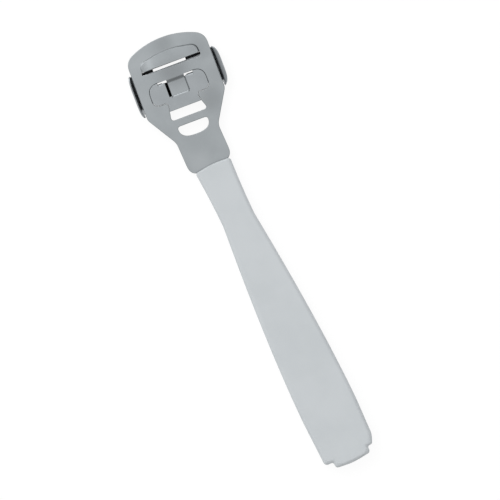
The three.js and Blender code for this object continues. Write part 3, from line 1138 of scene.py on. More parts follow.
@dataclass
class HeadPiece(Piece):
    """A piece of the head, with the sizes that the plate, the clip and the blade share."""

    handle: Handle = field(default_factory=lambda: Handle("handle", Body.FRAME, MOULDED_PLASTIC))
    cant_degrees: float = 4.9
    side_offset: float = 1.3
    plate_thickness: float = 1.0
    plate_width: float = 34.6
    tip_x: float = 57.0
    hood_front_x: float = 51.7
    lip_x: float = 45.8
    bridge_front_x: float = 44.1
    bridge_rear_x: float = 39.8
    work_y: float = 0.55
    pad_gap: float = 0.06
    pad_width: float = 24.45
    pad_front_corner: float = 4.4
    pad_foot_corner: float = 4.0
    pad_neck_width: float = 12.7
    pad_neck_corner: float = 1.45
    pad_tongue_width: float = 13.7
    pad_length: float = 9.0
    tongue_length: float = 3.8
    tab_width: float = 7.6
    tab_opening_length: float = 7.05
    tab_side_gap: float = 0.3
    tab_far_gap: float = 1.35
    sheet_gap: float = 0.3
    blade_thickness: float = 0.3
    clip_thickness: float = 0.6
    pad_proud: float = 0.25

    @property
    def plate_top(self) -> float:
        """The height of the plate's upper face."""
        return self.plate_thickness / 2

    @property
    def blade_top(self) -> float:
        """The height of the blade's upper face."""
        return -self.plate_top - self.sheet_gap

    @property
    def blade_bottom(self) -> float:
        """The height of the blade's lower face."""
        return self.blade_top - self.blade_thickness

    @property
    def pad_front_x(self) -> float:
        """Where the clip's pad starts behind the bridge."""
        return self.bridge_rear_x - self.pad_gap

    @property
    def hinge_x(self) -> float:
        """Where the clip hangs on the plate's tab."""
        return self.pad_front_x - self.tab_opening_length

    @property
    def pad_rear_x(self) -> float:
        """Where the pad's tongue ends."""
        return self.pad_front_x - self.pad_length - self.tongue_length

    def across(self, side: Side, distance: float) -> float:
        """Gives a y at a distance from the middle of the pad, which lies a little left of the head's."""
        return self.work_y + side.value * distance

    def pad_corners(self, side: Side, grow: float) -> list[Corner]:
        """Gives the corners of one half of the pad.

        Args:
            side: Which half.
            grow: How far they are moved outwards.

        Returns:
            The corners, from the front to the back.
        """
        lobe_y = self.across(side, self.pad_width / 2 + grow)
        foot_x = self.pad_front_x - self.pad_length - grow
        neck_y = self.across(side, self.pad_neck_width / 2 + grow)
        tongue_y = self.across(side, self.pad_tongue_width / 2 + grow)
        return [
            (self.pad_front_x + grow, lobe_y, self.pad_front_corner + grow),
            (foot_x, lobe_y, self.pad_foot_corner + grow),
            (foot_x, neck_y, max(self.pad_neck_corner - grow, 0.0)),
            (self.pad_rear_x, tongue_y, 0.0),
        ]

    def from_handle(self, x: float, y: float) -> Point:
        """Turns a place along the handle's axis into the head's frame.

        Args:
            x: The place along the handle, forwards from its front edge.
            y: The place across it.

        Returns:
            The place in the head's frame.
        """
        turned = Matrix.Rotation(math.radians(self.cant_degrees), 2) @ Vector((x, y - self.side_offset))
        return turned.x, turned.y

    def placement(self) -> Matrix:
        """Gives the place of the head, a little askew on the handle.

        Returns:
            The head's frame in the part, in metres.
        """
        offset = Matrix.Translation((0.0, self.side_offset, 0.0))
        turn = Matrix.Rotation(-math.radians(self.cant_degrees), 4, "Z")
        return self.handle.placement() @ offset @ turn


@dataclass
class HeadPlate(HeadPiece):
    """The pressed plate: one sheet with its hood drawn up and its tab drawn down."""

    tip_radius: float = 33.7
    tip_arc_reach: float = 13.0
    tip_steps: int = 24
    tip_corner: float = 6.0
    left_side_end: float = 26.8
    right_side_end: float = 28.4
    side_end_corner: float = 3.5
    left_neck_x: float = 13.9
    right_neck_x: float = 15.3
    left_neck: float = 9.5
    right_neck: float = 9.4
    left_foot: float = 8.6
    right_foot: float = 10.3
    neck_corner: float = 6.0
    shoulder: float = 4.6
    neck_insert: float = 0.4
    tang_width: float = 8.6
    tang_length: float = 26.0
    tang_corner: float = 0.7
    hood_width: float = 25.5
    hood_sag: float = 1.9
    hood_corner: float = 3.6
    hood_rise: float = 0.25
    hood_ramp: float = 0.85
    hood_fade: float = 6.0
    hood_slices: int = 8
    first_slice: float = 1.5
    # Painted shade on the hood's top, against the brighter light its ramp catches
    hood_shade: float = 0.22
    hood_tilt_degrees: float = 26.0
    hood_foot_radius: float = 0.25
    hood_shoulder_radius: float = 0.6
    end_room: float = 1.4
    hood_steps: int = 5
    hood_guard: float = 0.1
    hood_thinning: float = 0.5
    lip_curl: float = 0.3
    lip_corner: float = 0.3
    lip_corner_steps: int = 4
    mouth_corner: float = 0.5
    mouth_round_end: float = 1.9
    mouth_taper: float = 0.6
    mouth_steps: int = 5
    window_length: float = 3.9
    window_width: float = 15.9
    window_corner: float = 1.3
    window_shift: float = 0.2
    web_width: float = 3.1
    moon_depth: float = 5.1
    moon_width: float = 13.4
    moon_side_pull: float = 0.8
    moon_foot_pull: float = 0.68
    moon_steps: int = 14
    moon_corner: float = 1.3
    moon_corner_points: int = 3
    moon_shift: float = 0.25
    tab_step_length: float = 1.6
    tab_steps: int = 6
    tab_hook: float = 1.5
    edge: float = 0.22

    def rim(self) -> list[Point]:
        """Draws the plate's outer outline, tang included.

        Returns:
            The outline's points.
        """
        side, reach = self.plate_width / 2, self.tip_arc_reach
        arc = [reach * (1 - 2 * k / self.tip_steps) for k in range(self.tip_steps, -1, -1)]
        tip: list[Corner] = [(self._tip_arc_x(y), y, 0.0) for y in arc]
        slope = reach / math.sqrt(self.tip_radius**2 - reach**2)
        corner_x = self._tip_arc_x(reach) - slope * (side - reach)
        cant = math.radians(self.cant_degrees)
        flanks: dict[Side, list[Corner]] = {}
        for edge, side_end, neck_x, neck, foot in (
            (Side.LEFT, self.left_side_end, self.left_neck_x, self.left_neck, self.left_foot),
            (Side.RIGHT, self.right_side_end, self.right_neck_x, self.right_neck, self.right_foot),
        ):
            sign = edge.value
            foot_x = (-self.neck_insert - math.sin(cant) * sign * foot) / math.cos(cant)
            flanks[edge] = [
                (corner_x, sign * side, self.tip_corner),
                (side_end, sign * side, self.side_end_corner),
                (neck_x, sign * neck, self.neck_corner),
                (foot_x, sign * foot, self.shoulder),
            ]
        tang: list[Corner] = []
        for x, y, radius in (
            (-self.neck_insert, self.tang_width / 2, 0.0),
            (-self.tang_length, self.tang_width / 2, self.tang_corner),
            (-self.tang_length, -self.tang_width / 2, self.tang_corner),
            (-self.neck_insert, -self.tang_width / 2, 0.0),
        ):
            tang.append((*self.from_handle(x, y), radius))
        return rounded([*tip, *flanks[Side.LEFT], *tang, *reversed(flanks[Side.RIGHT])])

    def _tip_arc_x(self, y: float) -> float:
        """Gives where the tip's arc lies at a distance from the middle."""
        return self.tip_x - self.tip_radius + math.sqrt(self.tip_radius**2 - y**2)

    def hood_foot(self) -> list[Point]:
        """Draws the curved foot of the hood, with its guard strip.

        Returns:
            The points, from left to right.
        """
        side = self.hood_width / 2 + self.hood_guard
        start_x = self.lip_x + self.lip_curl
        front_x = self.hood_front_x + self.hood_guard
        half: list[Corner] = [(start_x, side, 0.0), (front_x - self.hood_sag, side, self.hood_corner)]
        crown = (front_x + self.hood_sag * CROWN_SHARE, 0.0, self.tip_x)
        other = [(x, -y, radius) for x, y, radius in reversed(half)]
        return rounded([*half, crown, *other], closed=False)

    def mouth(self) -> list[Point]:
        """Draws the mouth's ends and its back edge, which narrows the mouth to the left.

        Returns:
            The points, from right to left.
        """
        side = self.hood_width / 2 + self.hood_guard
        front_x = self.lip_x + self.lip_curl
        corners: list[Corner] = [
            (front_x, -side, 0.0),
            (self.bridge_front_x, -side, self.mouth_round_end),
            (self.bridge_front_x + self.mouth_taper, side, self.mouth_corner),
            (front_x, side, 0.0),
        ]
        return rounded(corners, closed=False, steps=self.mouth_steps)

    def window(self) -> list[Point]:
        """Draws the lobed cut-out for the pad and the window behind it, with the tab's root.

        Returns:
            The outline's points.
        """
        root = [(self.bridge_rear_x, self.across(side, self.tab_width / 2), 0.0) for side in reversed(Side)]
        rear_x = self.pad_rear_x - self.window_length
        halves = {}
        for side in Side:
            rear_y = self.window_shift + side.value * self.window_width / 2
            halves[side] = [*self.pad_corners(side, self.pad_gap), (rear_x, rear_y, self.window_corner)]
        return rounded([*root, *halves[Side.LEFT], *reversed(halves[Side.RIGHT])])

    def half_moon(self) -> list[Point]:
        """Draws the half-moon hole, with its two corners rounded.

        Returns:
            The outline's points.
        """
        flat_x = self.pad_rear_x - self.window_length - self.web_width
        foot_x = flat_x - self.moon_depth
        side = self.moon_width / 2
        pulled_x = flat_x - self.moon_depth * self.moon_side_pull
        pulled_y = side * self.moon_foot_pull
        left = cubic((flat_x, side), (pulled_x, side), (foot_x, pulled_y), (foot_x, 0.0), self.moon_steps)
        bow = [(x, y, 0.0) for x, y in left[self.moon_corner_points :]]
        half: list[Corner] = [(flat_x, side, self.moon_corner), *bow]
        full = [*half, *((x, -y, radius) for x, y, radius in reversed(half[:-1]))]
        return rounded([(x, y + self.moon_shift, radius) for x, y, radius in full])

    def build(self) -> bpy.types.Object:
        """Models the plate as a surface, gives it its thickness and rounds its edges.

        Returns:
            The object, in the head's frame.
        """
        foot, mouth = self.hood_foot(), self.mouth()
        hood_hole = foot + mouth[1:-1]
        outlines = (self.rim(), hood_hole, self.window(), self.half_moon())
        plate = join("plate", [ring("outline", points, self.plate_top) for points in outlines])
        in_edit_mode(plate, self._fill)
        in_edit_mode(plate, lambda mesh: self._draw_hood(plate, foot))
        in_edit_mode(plate, self._slice_hood)
        in_edit_mode(plate, self._lift_lip)
        in_edit_mode(plate, lambda mesh: self._draw_tab(plate))
        in_edit_mode(plate, put_in_order)
        in_edit_mode(plate, self._even_out)
        self._give_thickness(plate)
        smooth(plate)
        mark_edges(plate)
        # Painted shade on the hood's top
        mark_shade(plate, self.shade_at)
        return plate

    @staticmethod
    def _fill(mesh: bmesh.types.BMesh) -> None:
        """Fills the sheet between its outlines."""
        bpy.ops.mesh.select_all(action="SELECT")
        bpy.ops.mesh.fill(use_beauty=True)

    def _give_thickness(self, plate: bpy.types.Object) -> None:
        """Thickens the sheet downwards, thinner where the hood is drawn, and rounds its edges.

        Args:
            plate: The plate as a surface.
        """
        full = plate.vertex_groups.new(name="full_thickness")
        for vertex in plate.data.vertices:
            lift = (vertex.co.z - self.plate_top) / self.hood_rise
            full.add([vertex.index], 1 - min(max(lift, 0.0), 1.0), "REPLACE")
        apply_modifier(
            plate,
            "SOLIDIFY",
            thickness=self.plate_thickness,
            offset=-1.0,
            use_even_offset=True,
            vertex_group=full.name,
            thickness_vertex_group=self.hood_thinning,
        )
        plate.vertex_groups.clear()
        soften(plate, self.edge, skip=self._too_tight)

    def _too_tight(self, middle: Vector) -> bool:
        """Tells whether an edge lies inside the hood or at its ends, where rounding has no room.

        Args:
            middle: The edge's middle.

        Returns:
            Whether it stays sharp.
        """
        from_end = self.hood_width / 2 - abs(middle.y)
        along_hood = self.lip_x - self.edge < middle.x < self.hood_front_x + self.hood_rise
        inside = middle.z < self.plate_top - self.edge
        at_end = middle.x < self.lip_x + self.end_room and from_end < self.end_room
        return along_hood and from_end > -self.hood_rise and (inside or at_end)

    @staticmethod
    def _even_out(mesh: bmesh.types.BMesh) -> None:
        """Joins the fill's triangles into large flat faces.

        Args:
            mesh: The edit mesh.
        """
        weld(mesh)
        flat = math.radians(FLAT_DEGREES)
        bpy.ops.mesh.dissolve_limited(angle_limit=flat, use_dissolve_boundaries=False)

    def hood_rings(self) -> list[Point]:
        """Gives the hood's rings from its foot up.

        Returns:
            For each ring, how far it is drawn in and its height.
        """
        tilt = math.radians(self.hood_tilt_degrees)
        low, high = self.hood_foot_radius, self.hood_shoulder_radius
        straight = (self.hood_rise - (low + high) * (1 - math.cos(tilt))) / math.sin(tilt)
        rings = [(0.0, 0.0)]
        for k in range(1, self.hood_steps + 1):
            angle = tilt * k / self.hood_steps
            rings.append((low * math.sin(angle), low * (1 - math.cos(angle))))
        across = (low + high) * math.sin(tilt) + straight * math.cos(tilt)
        for k in range(self.hood_steps, -1, -1):
            angle = tilt * k / self.hood_steps
            rings.append((across - high * math.sin(angle), self.hood_rise - high * (1 - math.cos(angle))))
        return [(self.hood_guard + inset, self.plate_top + rise) for inset, rise in rings]

    def _draw_hood(self, plate: bpy.types.Object, foot: Sequence[Point]) -> None:
        """Draws the hood up from its foot in rings, and closes it with its top and lip.

        Args:
            plate: The plate, in edit mode.
            foot: The points of the hood's foot.
        """
        marks = {(round(x, 3), round(y, 3)) for x, y in foot}

        def on_foot(a: Vector, b: Vector) -> bool:
            """Tells whether an edge lies along the hood's foot."""
            return all((round(p.x, 3), round(p.y, 3)) in marks for p in (a, b)) and a.x > self.lip_x

        select_edges(plate, on_foot)
        depth = self.hood_front_x - self.lip_x + self.hood_guard
        half = self.hood_width / 2 + self.hood_guard
        inset, height = 0.0, self.plate_top
        for next_inset, next_height in self.hood_rings():
            extrude((0.0, 0.0, next_height - height))
            drawn_in = ((depth - next_inset) / (depth - inset), (half - next_inset) / (half - inset), 1.0)
            bpy.ops.transform.resize(value=drawn_in, center_override=(self.lip_x, 0.0, next_height))
            inset, height = next_inset, next_height
        bpy.ops.mesh.edge_face_add()
        self._draw_lip(plate)

    def _draw_lip(self, plate: bpy.types.Object) -> None:
        """Runs the hood's top out to its lip and rounds the lip's corners.

        Args:
            plate: The plate, in edit mode.
        """
        top = self.plate_top + self.hood_rise

        def across(a: Vector, b: Vector) -> bool:
            """Tells whether an edge closes the hood's top across the mouth."""
            level = min(a.z, b.z) > top - WELD
            return level and a.y * b.y < 0 and abs(a.x - b.x) < WELD

        select_edges(plate, across)
        chosen = [v for v in bmesh.from_edit_mesh(plate.data).verts if v.select]
        run = min(v.co.x for v in chosen) - self.lip_x
        half = max(v.co.y for v in chosen)
        extrude((-run, 0.0, 0.0))
        narrowed = (half - run) / half
        bpy.ops.transform.resize(value=(1.0, narrowed, 1.0), center_override=(self.lip_x, 0.0, top))
        steps = self.lip_corner_steps
        bpy.ops.mesh.bevel(offset=self.lip_corner, segments=steps, affect="VERTICES", clamp_overlap=True)

    def _slice_hood(self, mesh: bmesh.types.BMesh) -> None:
        """Slices the hood's top across towards its left end, where it runs out.

        Args:
            mesh: The edit mesh.
        """
        bpy.ops.mesh.select_mode(type="FACE")
        for k in range(self.hood_slices):
            bpy.ops.mesh.select_all(action="DESELECT")
            for face in mesh.faces:
                level = all(v.co.z > self.plate_top + self.hood_rise - WELD for v in face.verts)
                face.select_set(level)
            share = (k + self.first_slice) / (self.hood_slices - 1 + self.first_slice)
            y = self.hood_width / 2 - self.hood_fade * share
            bpy.ops.mesh.bisect(plane_co=(0.0, y, 0.0), plane_no=(0.0, 1.0, 0.0))

    def _lift_lip(self, mesh: bmesh.types.BMesh) -> None:
        """Lifts the hood's top into a ramp that is highest at its lip and runs out to the left.

        Args:
            mesh: The edit mesh.
        """
        for vertex in mesh.verts:
            share = (vertex.co.z - self.plate_top) / self.hood_rise
            back = (self.hood_front_x - vertex.co.x) / (self.hood_front_x - self.lip_x)
            inward = (self.hood_width / 2 - vertex.co.y) / self.hood_fade
            if share > WELD:
                vertex.co.z += self.hood_ramp * share * min(max(back, 0.0), 1.0) * eased(inward)

    def shade_at(self, middle: Vector, normal: Vector) -> float:
        """Gives the hood's top a little painted shade, darkening it against the light that its ramp
        catches.
        """
        on_hood = self.lip_x < middle.x < self.hood_front_x and abs(middle.y) < self.hood_width / 2
        return self.hood_shade if on_hood and middle.z > self.plate_top + WELD and normal.z > 0 else 0.0

    def _draw_tab(self, plate: bpy.types.Object) -> None:
        """Draws the tab down from the bridge and back under the clip's tongue.

        Args:
            plate: The plate, in edit mode.
        """
        root = [self.across(side, self.tab_width / 2) for side in Side]
        ends = [(self.bridge_rear_x, y, self.plate_top) for y in root]
        select_edges(plate, edge_between(*ends))
        drop = self.pad_proud - self.clip_thickness - self.sheet_gap
        lowered = 0.0
        for k in range(1, self.tab_steps + 1):
            share = k / self.tab_steps
            height = drop * (1 - math.cos(math.pi * share)) / 2
            extrude((-self.tab_step_length / self.tab_steps, 0.0, height - lowered))
            lowered = height
        hook_x = self.hinge_x - self.tab_hook
        extrude((hook_x - self.bridge_rear_x + self.tab_step_length, 0.0, 0.0))


@dataclass
class BladeClip(HeadPiece):
    """The spring clip: wings under the blade, a lobed pad drawn up between them, and two ears."""

    notch_width: float = 15.4
    tail: float = 0.85
    mouth_notch_left: float = 8.0
    mouth_notch_right: float = -6.2
    wing_lead: float = 0.4
    wing_clear: float = 0.35
    flange_x: float = 44.0
    flange_end: float = 13.4
    left_ear_length: float = 17.9
    right_ear_length: float = 16.7
    ear_gap: float = 0.22
    left_ear_lean: float = 0.88
    right_ear_lean: float = 0.85
    ear_fullness: float = 4.0
    ear_wall_top: float = 1.0
    ear_tail: float = 1.4
    ear_corner: float = 1.2
    left_ear_rise: float = 0.8
    right_ear_rise: float = 1.0
    left_ear_lip: float = 0.25
    right_ear_lip: float = 1.2
    ear_steps: int = 24
    ear_tail_steps: int = 8
    wall_shares: tuple[float, ...] = (0.0, 0.5, 1.0)
    lip_shares: tuple[float, ...] = (0.2, 0.45, 0.7, 1.0)
    lip_straight: float = 0.4
    lip_flare: float = 1.7
    foot_bend: float = 0.45
    ear_bend: float = 0.4
    bend_steps: int = 4
    wall_points: int = 26
    roll_x: float = 38.05
    strap_front_x: float = 38.95
    strap_post: float = 0.7
    opening_lip: float = 0.6
    lip_side_gap: float = 0.4
    tail_tuck: float = 0.15
    roll: tuple[Point, ...] = ((0.4, -0.05), (0.3, -0.15), (0.2, -0.3), (0.05, -0.3))
    eased_lip: tuple[Point, ...] = ((0.15, -0.03), (0.25, -0.11), (0.2, -0.1))
    flange: tuple[Point, ...] = ((0.5, -0.15), (0.5, -0.35), (0.5, -0.35), (0.6, -0.4))
    strap: tuple[Point, ...] = ((0.0, -1.1), (-0.1, -0.25), (-0.9, -0.75), (-0.3, -0.1), (-8.6, 0.0))
    narrower: float = 0.995
    tight: float = 0.6
    edge: float = 0.15

    @property
    def base_z(self) -> float:
        """The height of the middle of the clip's wings."""
        return self.blade_bottom - self.sheet_gap - self.clip_thickness / 2

    @property
    def pad_z(self) -> float:
        """The height of the middle of the pad's sheet."""
        return self.plate_top + self.pad_proud - self.clip_thickness / 2

    @property
    def half_sheet(self) -> float:
        """Half the sheet's thickness."""
        return self.clip_thickness / 2

    @property
    def ear_root_y(self) -> float:
        """How far the middle of an ear's wall stands from the head's middle."""
        return self.plate_width / 2 + self.ear_gap + self.half_sheet

    @property
    def wing_ends(self) -> Point:
        """The front and rear ends of the wings."""
        return self.lip_x + self.wing_lead, self.hinge_x - self.tail

    def notch_y(self, side: Side) -> float:
        """The edge of the notch under the mouth on one side."""
        return self.across(side, self.notch_width / 2)

    def mouth_notch_y(self, side: Side) -> float:
        """The edge of that notch at the wings' front on one side."""
        return self.mouth_notch_left if side is Side.LEFT else self.mouth_notch_right

    def tab_edge_y(self, side: Side) -> float:
        """The tab opening's edge on one side."""
        gap = self.tab_far_gap if side is Side.LEFT else self.tab_side_gap
        return self.across(side, self.tab_width / 2 + gap)

    def ear_sizes(self, side: Side) -> tuple[float, float, float, float]:
        """Gives the sizes in which the two ears differ.

        Args:
            side: Which ear.

        Returns:
            Its length, its lean, and the width and rise of its lip.
        """
        if side is Side.LEFT:
            return self.left_ear_length, self.left_ear_lean, self.left_ear_lip, self.left_ear_rise
        return self.right_ear_length, self.right_ear_lean, self.right_ear_lip, self.right_ear_rise

    def lobe(self, side: Side, inset: float) -> tuple[list[Point], list[Point]]:
        """Draws one lobe's outline from the notch round to the tongue's end.

        Args:
            side: Which lobe.
            inset: How far inside the pad's outline it runs.

        Returns:
            The walled stretch ahead of the hinge line, always with as many points, and the free stretch.
        """
        corners = self.pad_corners(side, -inset)
        start = (corners[0][0], self.notch_y(side), 0.0)
        walled, free = split_at_x(rounded([start, *corners], closed=False), self.hinge_x)
        return resampled(walled, self.wall_points), free

    def build(self) -> bpy.types.Object:
        """Models the clip as a surface, gives it its thickness and rounds its edges.

        Returns:
            The object, in the head's frame.
        """
        parts = [self._pad_top()]
        for side in Side:
            parts += [self._pad_wall(side), self._wing(side), *self._ear(side)]
        clip = join("clip", parts)
        in_edit_mode(clip, lambda mesh: self._roll_front(clip))
        in_edit_mode(clip, lambda mesh: self._fold_strap(clip))
        in_edit_mode(clip, lambda mesh: self._turn_down_wings(clip))
        in_edit_mode(clip, lambda mesh: self._ease_opening(clip))
        apply_modifier(clip, "SOLIDIFY", thickness=self.clip_thickness, offset=0.0, use_even_offset=True)
        soften(clip, self.edge, skip=self._too_tight)
        smooth(clip)
        mark_edges(clip)
        # Painted shade, near black, deep in the mouth and in the gap beside the tab
        mark_shade(clip, self.shade_at)
        return clip

    def _too_tight(self, middle: Vector) -> bool:
        """Tells whether an edge lies at a slit or at the end of a wall or wing, with no room for rounding.

        Args:
            middle: The edge's middle.

        Returns:
            Whether it stays sharp.
        """
        from_lobe = abs(abs(middle.y - self.work_y) - self.pad_width / 2)
        at_wall_end = abs(middle.x - self.hinge_x) < self.tight and from_lobe < 2 * self.tight
        posts = [self.tab_edge_y(side) + side.value * self.strap_post for side in Side]
        at_slit = middle.x > self.roll_x - self.edge and any(abs(middle.y - y) < self.edge for y in posts)
        from_bend = abs(abs(middle.y) - self.ear_root_y + self.ear_bend)
        at_wing_end = abs(middle.x - self.wing_ends[1]) < self.tight / 2 and from_bend < self.tight / 2
        return at_wall_end or at_slit or at_wing_end

    def shade_at(self, middle: Vector, normal: Vector) -> float:
        """Tells whether a face lies deep in the mouth or beside the tab, where little light gets in, so
        that it gets painted shade.

        Args:
            middle: The face's middle.
            normal: Its normal.

        Returns:
            1 if it does, and otherwise 0.
        """
        facing_up = normal.z > WELD
        in_mouth = middle.x > self.flange_x and abs(middle.y) < self.flange_end
        left = self.tab_edge_y(Side.LEFT)
        beside_tab = self.hinge_x < middle.x < self.strap_front_x and self.work_y < middle.y < left + WELD
        below_pad = middle.z < self.pad_z - self.half_sheet
        return float(facing_up and below_pad and (in_mouth or beside_tab))

    def _pad_top(self) -> bpy.types.Object:
        """Makes the pad's flat top with its tongue, open in front for the tab.

        Returns:
            The top, at the middle of its sheet.
        """
        halves: dict[Side, list[Point]] = {}
        for side in Side:
            walled, _ = self.lobe(side, self.half_sheet)
            _, free = self.lobe(side, 0.0)
            tab_y, notch_y = self.tab_edge_y(side), self.notch_y(side)
            post_y = tab_y + side.value * self.strap_post
            recess_y = self.across(side, self.tab_width / 2)
            opening = [
                (self.hinge_x - self.opening_lip, recess_y - side.value * self.lip_side_gap),
                (self.hinge_x - self.opening_lip, recess_y),
                (self.hinge_x, recess_y),
                (self.hinge_x, tab_y),
                (self.strap_front_x, tab_y),
                (self.strap_front_x, post_y),
                (self.roll_x, post_y),
                (self.roll_x, notch_y),
            ]
            halves[side] = opening + walled + free
        return ring("pad_top", halves[Side.LEFT] + halves[Side.RIGHT][::-1], self.pad_z, filled=True)

    def _pad_wall(self, side: Side) -> bpy.types.Object:
        """Makes the wall that carries one lobe, bent outwards at its foot.

        Args:
            side: Which lobe.

        Returns:
            The wall.
        """
        rows = [(self.half_sheet, self.pad_z)]
        for angle in arc_rows(self.bend_steps):
            inset = self.half_sheet - self.foot_bend * (1 - math.cos(angle))
            rows.append((inset, self.base_z + self.foot_bend * (1 - math.sin(angle))))
        return patch("pad_wall", [[(x, y, z) for x, y in self.lobe(side, inset)[0]] for inset, z in rows])

    def _wing(self, side: Side) -> bpy.types.Object:
        """Makes one wing of the base, between the pad's foot and the ear.

        Args:
            side: Which wing.

        Returns:
            The wing.
        """
        front_x, rear_x = self.wing_ends
        outer = side.value * (self.ear_root_y - self.ear_bend)
        inner = self.across(side, self.pad_width / 2 + self.wing_clear)
        foot, _ = self.lobe(side, self.half_sheet - self.foot_bend)
        along = [front_x + (rear_x - front_x) * k / self.ear_steps for k in range(self.ear_steps + 1)]
        points = [
            (self.flange_x, self.mouth_notch_y(side)),
            (self.flange_x, side.value * self.flange_end),
            (front_x, side.value * self.flange_end),
            *((x, outer) for x in along),
            (rear_x, inner),
            (self.hinge_x, inner),
            *reversed(foot),
        ]
        return ring("wing", points, self.base_z, filled=True)

    def _ear(self, side: Side) -> list[bpy.types.Object]:
        """Makes one ear: a bend, a leaning wall and a lip that bows between its rounded ends.

        Args:
            side: Which ear.

        Returns:
            The bend, and the wall with its lip.
        """
        front_x, wing_x = self.wing_ends
        length, reach, lip_width, lip_rise = self.ear_sizes(side)
        root_x = front_x - length + self.ear_tail
        tail_shares = [k / self.ear_tail_steps for k in range(1, self.ear_tail_steps + 1)]
        along = [front_x + (wing_x - front_x) * k / self.ear_steps for k in range(self.ear_steps + 1)]
        along += [wing_x + (root_x - wing_x) * share for share in tail_shares]
        foot_z = self.base_z + self.ear_bend
        bend = []
        for angle in arc_rows(self.bend_steps):
            y = side.value * (self.ear_root_y - self.ear_bend * (1 - math.sin(angle)))
            z = self.base_z + self.ear_bend * (1 - math.cos(angle))
            bend.append([(x, y, z) for x in along])
        full = [*along, *(root_x - self.ear_tail * share for share in tail_shares)]
        flat = [0.0] * len(along)
        lows = flat + [self.ear_corner * (1 - math.sqrt(1 - share**2)) for share in tail_shares]
        tucks = flat + [self.tail_tuck * eased(share) for share in tail_shares]
        roots = [self.ear_root_y - tuck for tuck in tucks]
        bows = [max(1 - abs(2 * (front_x - x) / length - 1) ** self.ear_fullness, 0.0) for x in full]
        rows = []
        for share in self.wall_shares:
            row = []
            for x, low, bow, root_y in zip(full, lows, bows, roots):
                z = foot_z + low + (self.ear_wall_top - foot_z - low) * share
                lean = reach * math.sqrt(bow) * (z - foot_z) / (self.ear_wall_top - foot_z)
                row.append((x, side.value * (root_y + lean), z))
            rows.append(row)
        for share in self.lip_shares:
            row = []
            for x, bow, root_y in zip(full, bows, roots):
                rise = share * math.sqrt(bow)
                flared = self.lip_straight * rise + (1 - self.lip_straight) * rise**self.lip_flare
                y = side.value * (root_y + reach * math.sqrt(bow) + lip_width * flared)
                row.append((x, y, self.ear_wall_top + lip_rise * rise))
            rows.append(row)
        return [patch("ear_bend", bend), patch("ear", rows)]

    def _draw_out(
        self, clip: bpy.types.Object, start: Place, stop: Place, steps: Sequence[Point]
    ) -> None:
        """Draws one crosswise edge out in steps, a little narrower at each.

        Args:
            clip: The clip, in edit mode.
            start: One end of the edge.
            stop: Its other end.
            steps: The steps, forwards and up.
        """
        select_edges(clip, edge_between(start, stop))
        middle = (0.0, (start[1] + stop[1]) / 2, 0.0)
        for dx, dz in steps:
            extrude((dx, 0.0, dz))
            bpy.ops.transform.resize(value=(1.0, self.narrower, 1.0), center_override=middle)

    def _roll_front(self, clip: bpy.types.Object) -> None:
        """Rolls the pad's front edges down beside the tab.

        Args:
            clip: The clip, in edit mode.
        """
        for side in Side:
            post_y = self.tab_edge_y(side) + side.value * self.strap_post
            ends = [(self.roll_x, y, self.pad_z) for y in (post_y, self.notch_y(side))]
            self._draw_out(clip, *ends, self.roll)

    def _ease_opening(self, clip: bpy.types.Object) -> None:
        """Eases the tongue's edge down onto the tab, at the opening's back.

        Args:
            clip: The clip, in edit mode.
        """
        half = self.tab_width / 2 - self.lip_side_gap
        edge_x = self.hinge_x - self.opening_lip
        ends = [(edge_x, self.across(side, half), self.pad_z) for side in Side]
        self._draw_out(clip, *ends, self.eased_lip)

    def _turn_down_wings(self, clip: bpy.types.Object) -> None:
        """Turns the front of each wing down in front of the blade's edge.

        Args:
            clip: The clip, in edit mode.
        """
        for side in Side:
            reach = (self.mouth_notch_y(side), side.value * self.flange_end)
            ends = [(self.flange_x, y, self.base_z) for y in reach]
            self._draw_out(clip, *ends, self.flange)

    def _fold_strap(self, clip: bpy.types.Object) -> None:
        """Folds a strap from the opening's left edge under the tab, so that it keeps the clip on; it also
        closes the view through the gap beside the tab with a sheet whose top there is painted near black as
        shade.

        Args:
            clip: The clip, in edit mode.
        """
        edge_y = self.tab_edge_y(Side.LEFT)
        ends = [(x, edge_y, self.pad_z) for x in (self.hinge_x, self.strap_front_x)]
        select_edges(clip, edge_between(*ends))
        for dy, dz in self.strap:
            extrude((0.0, dy, dz))


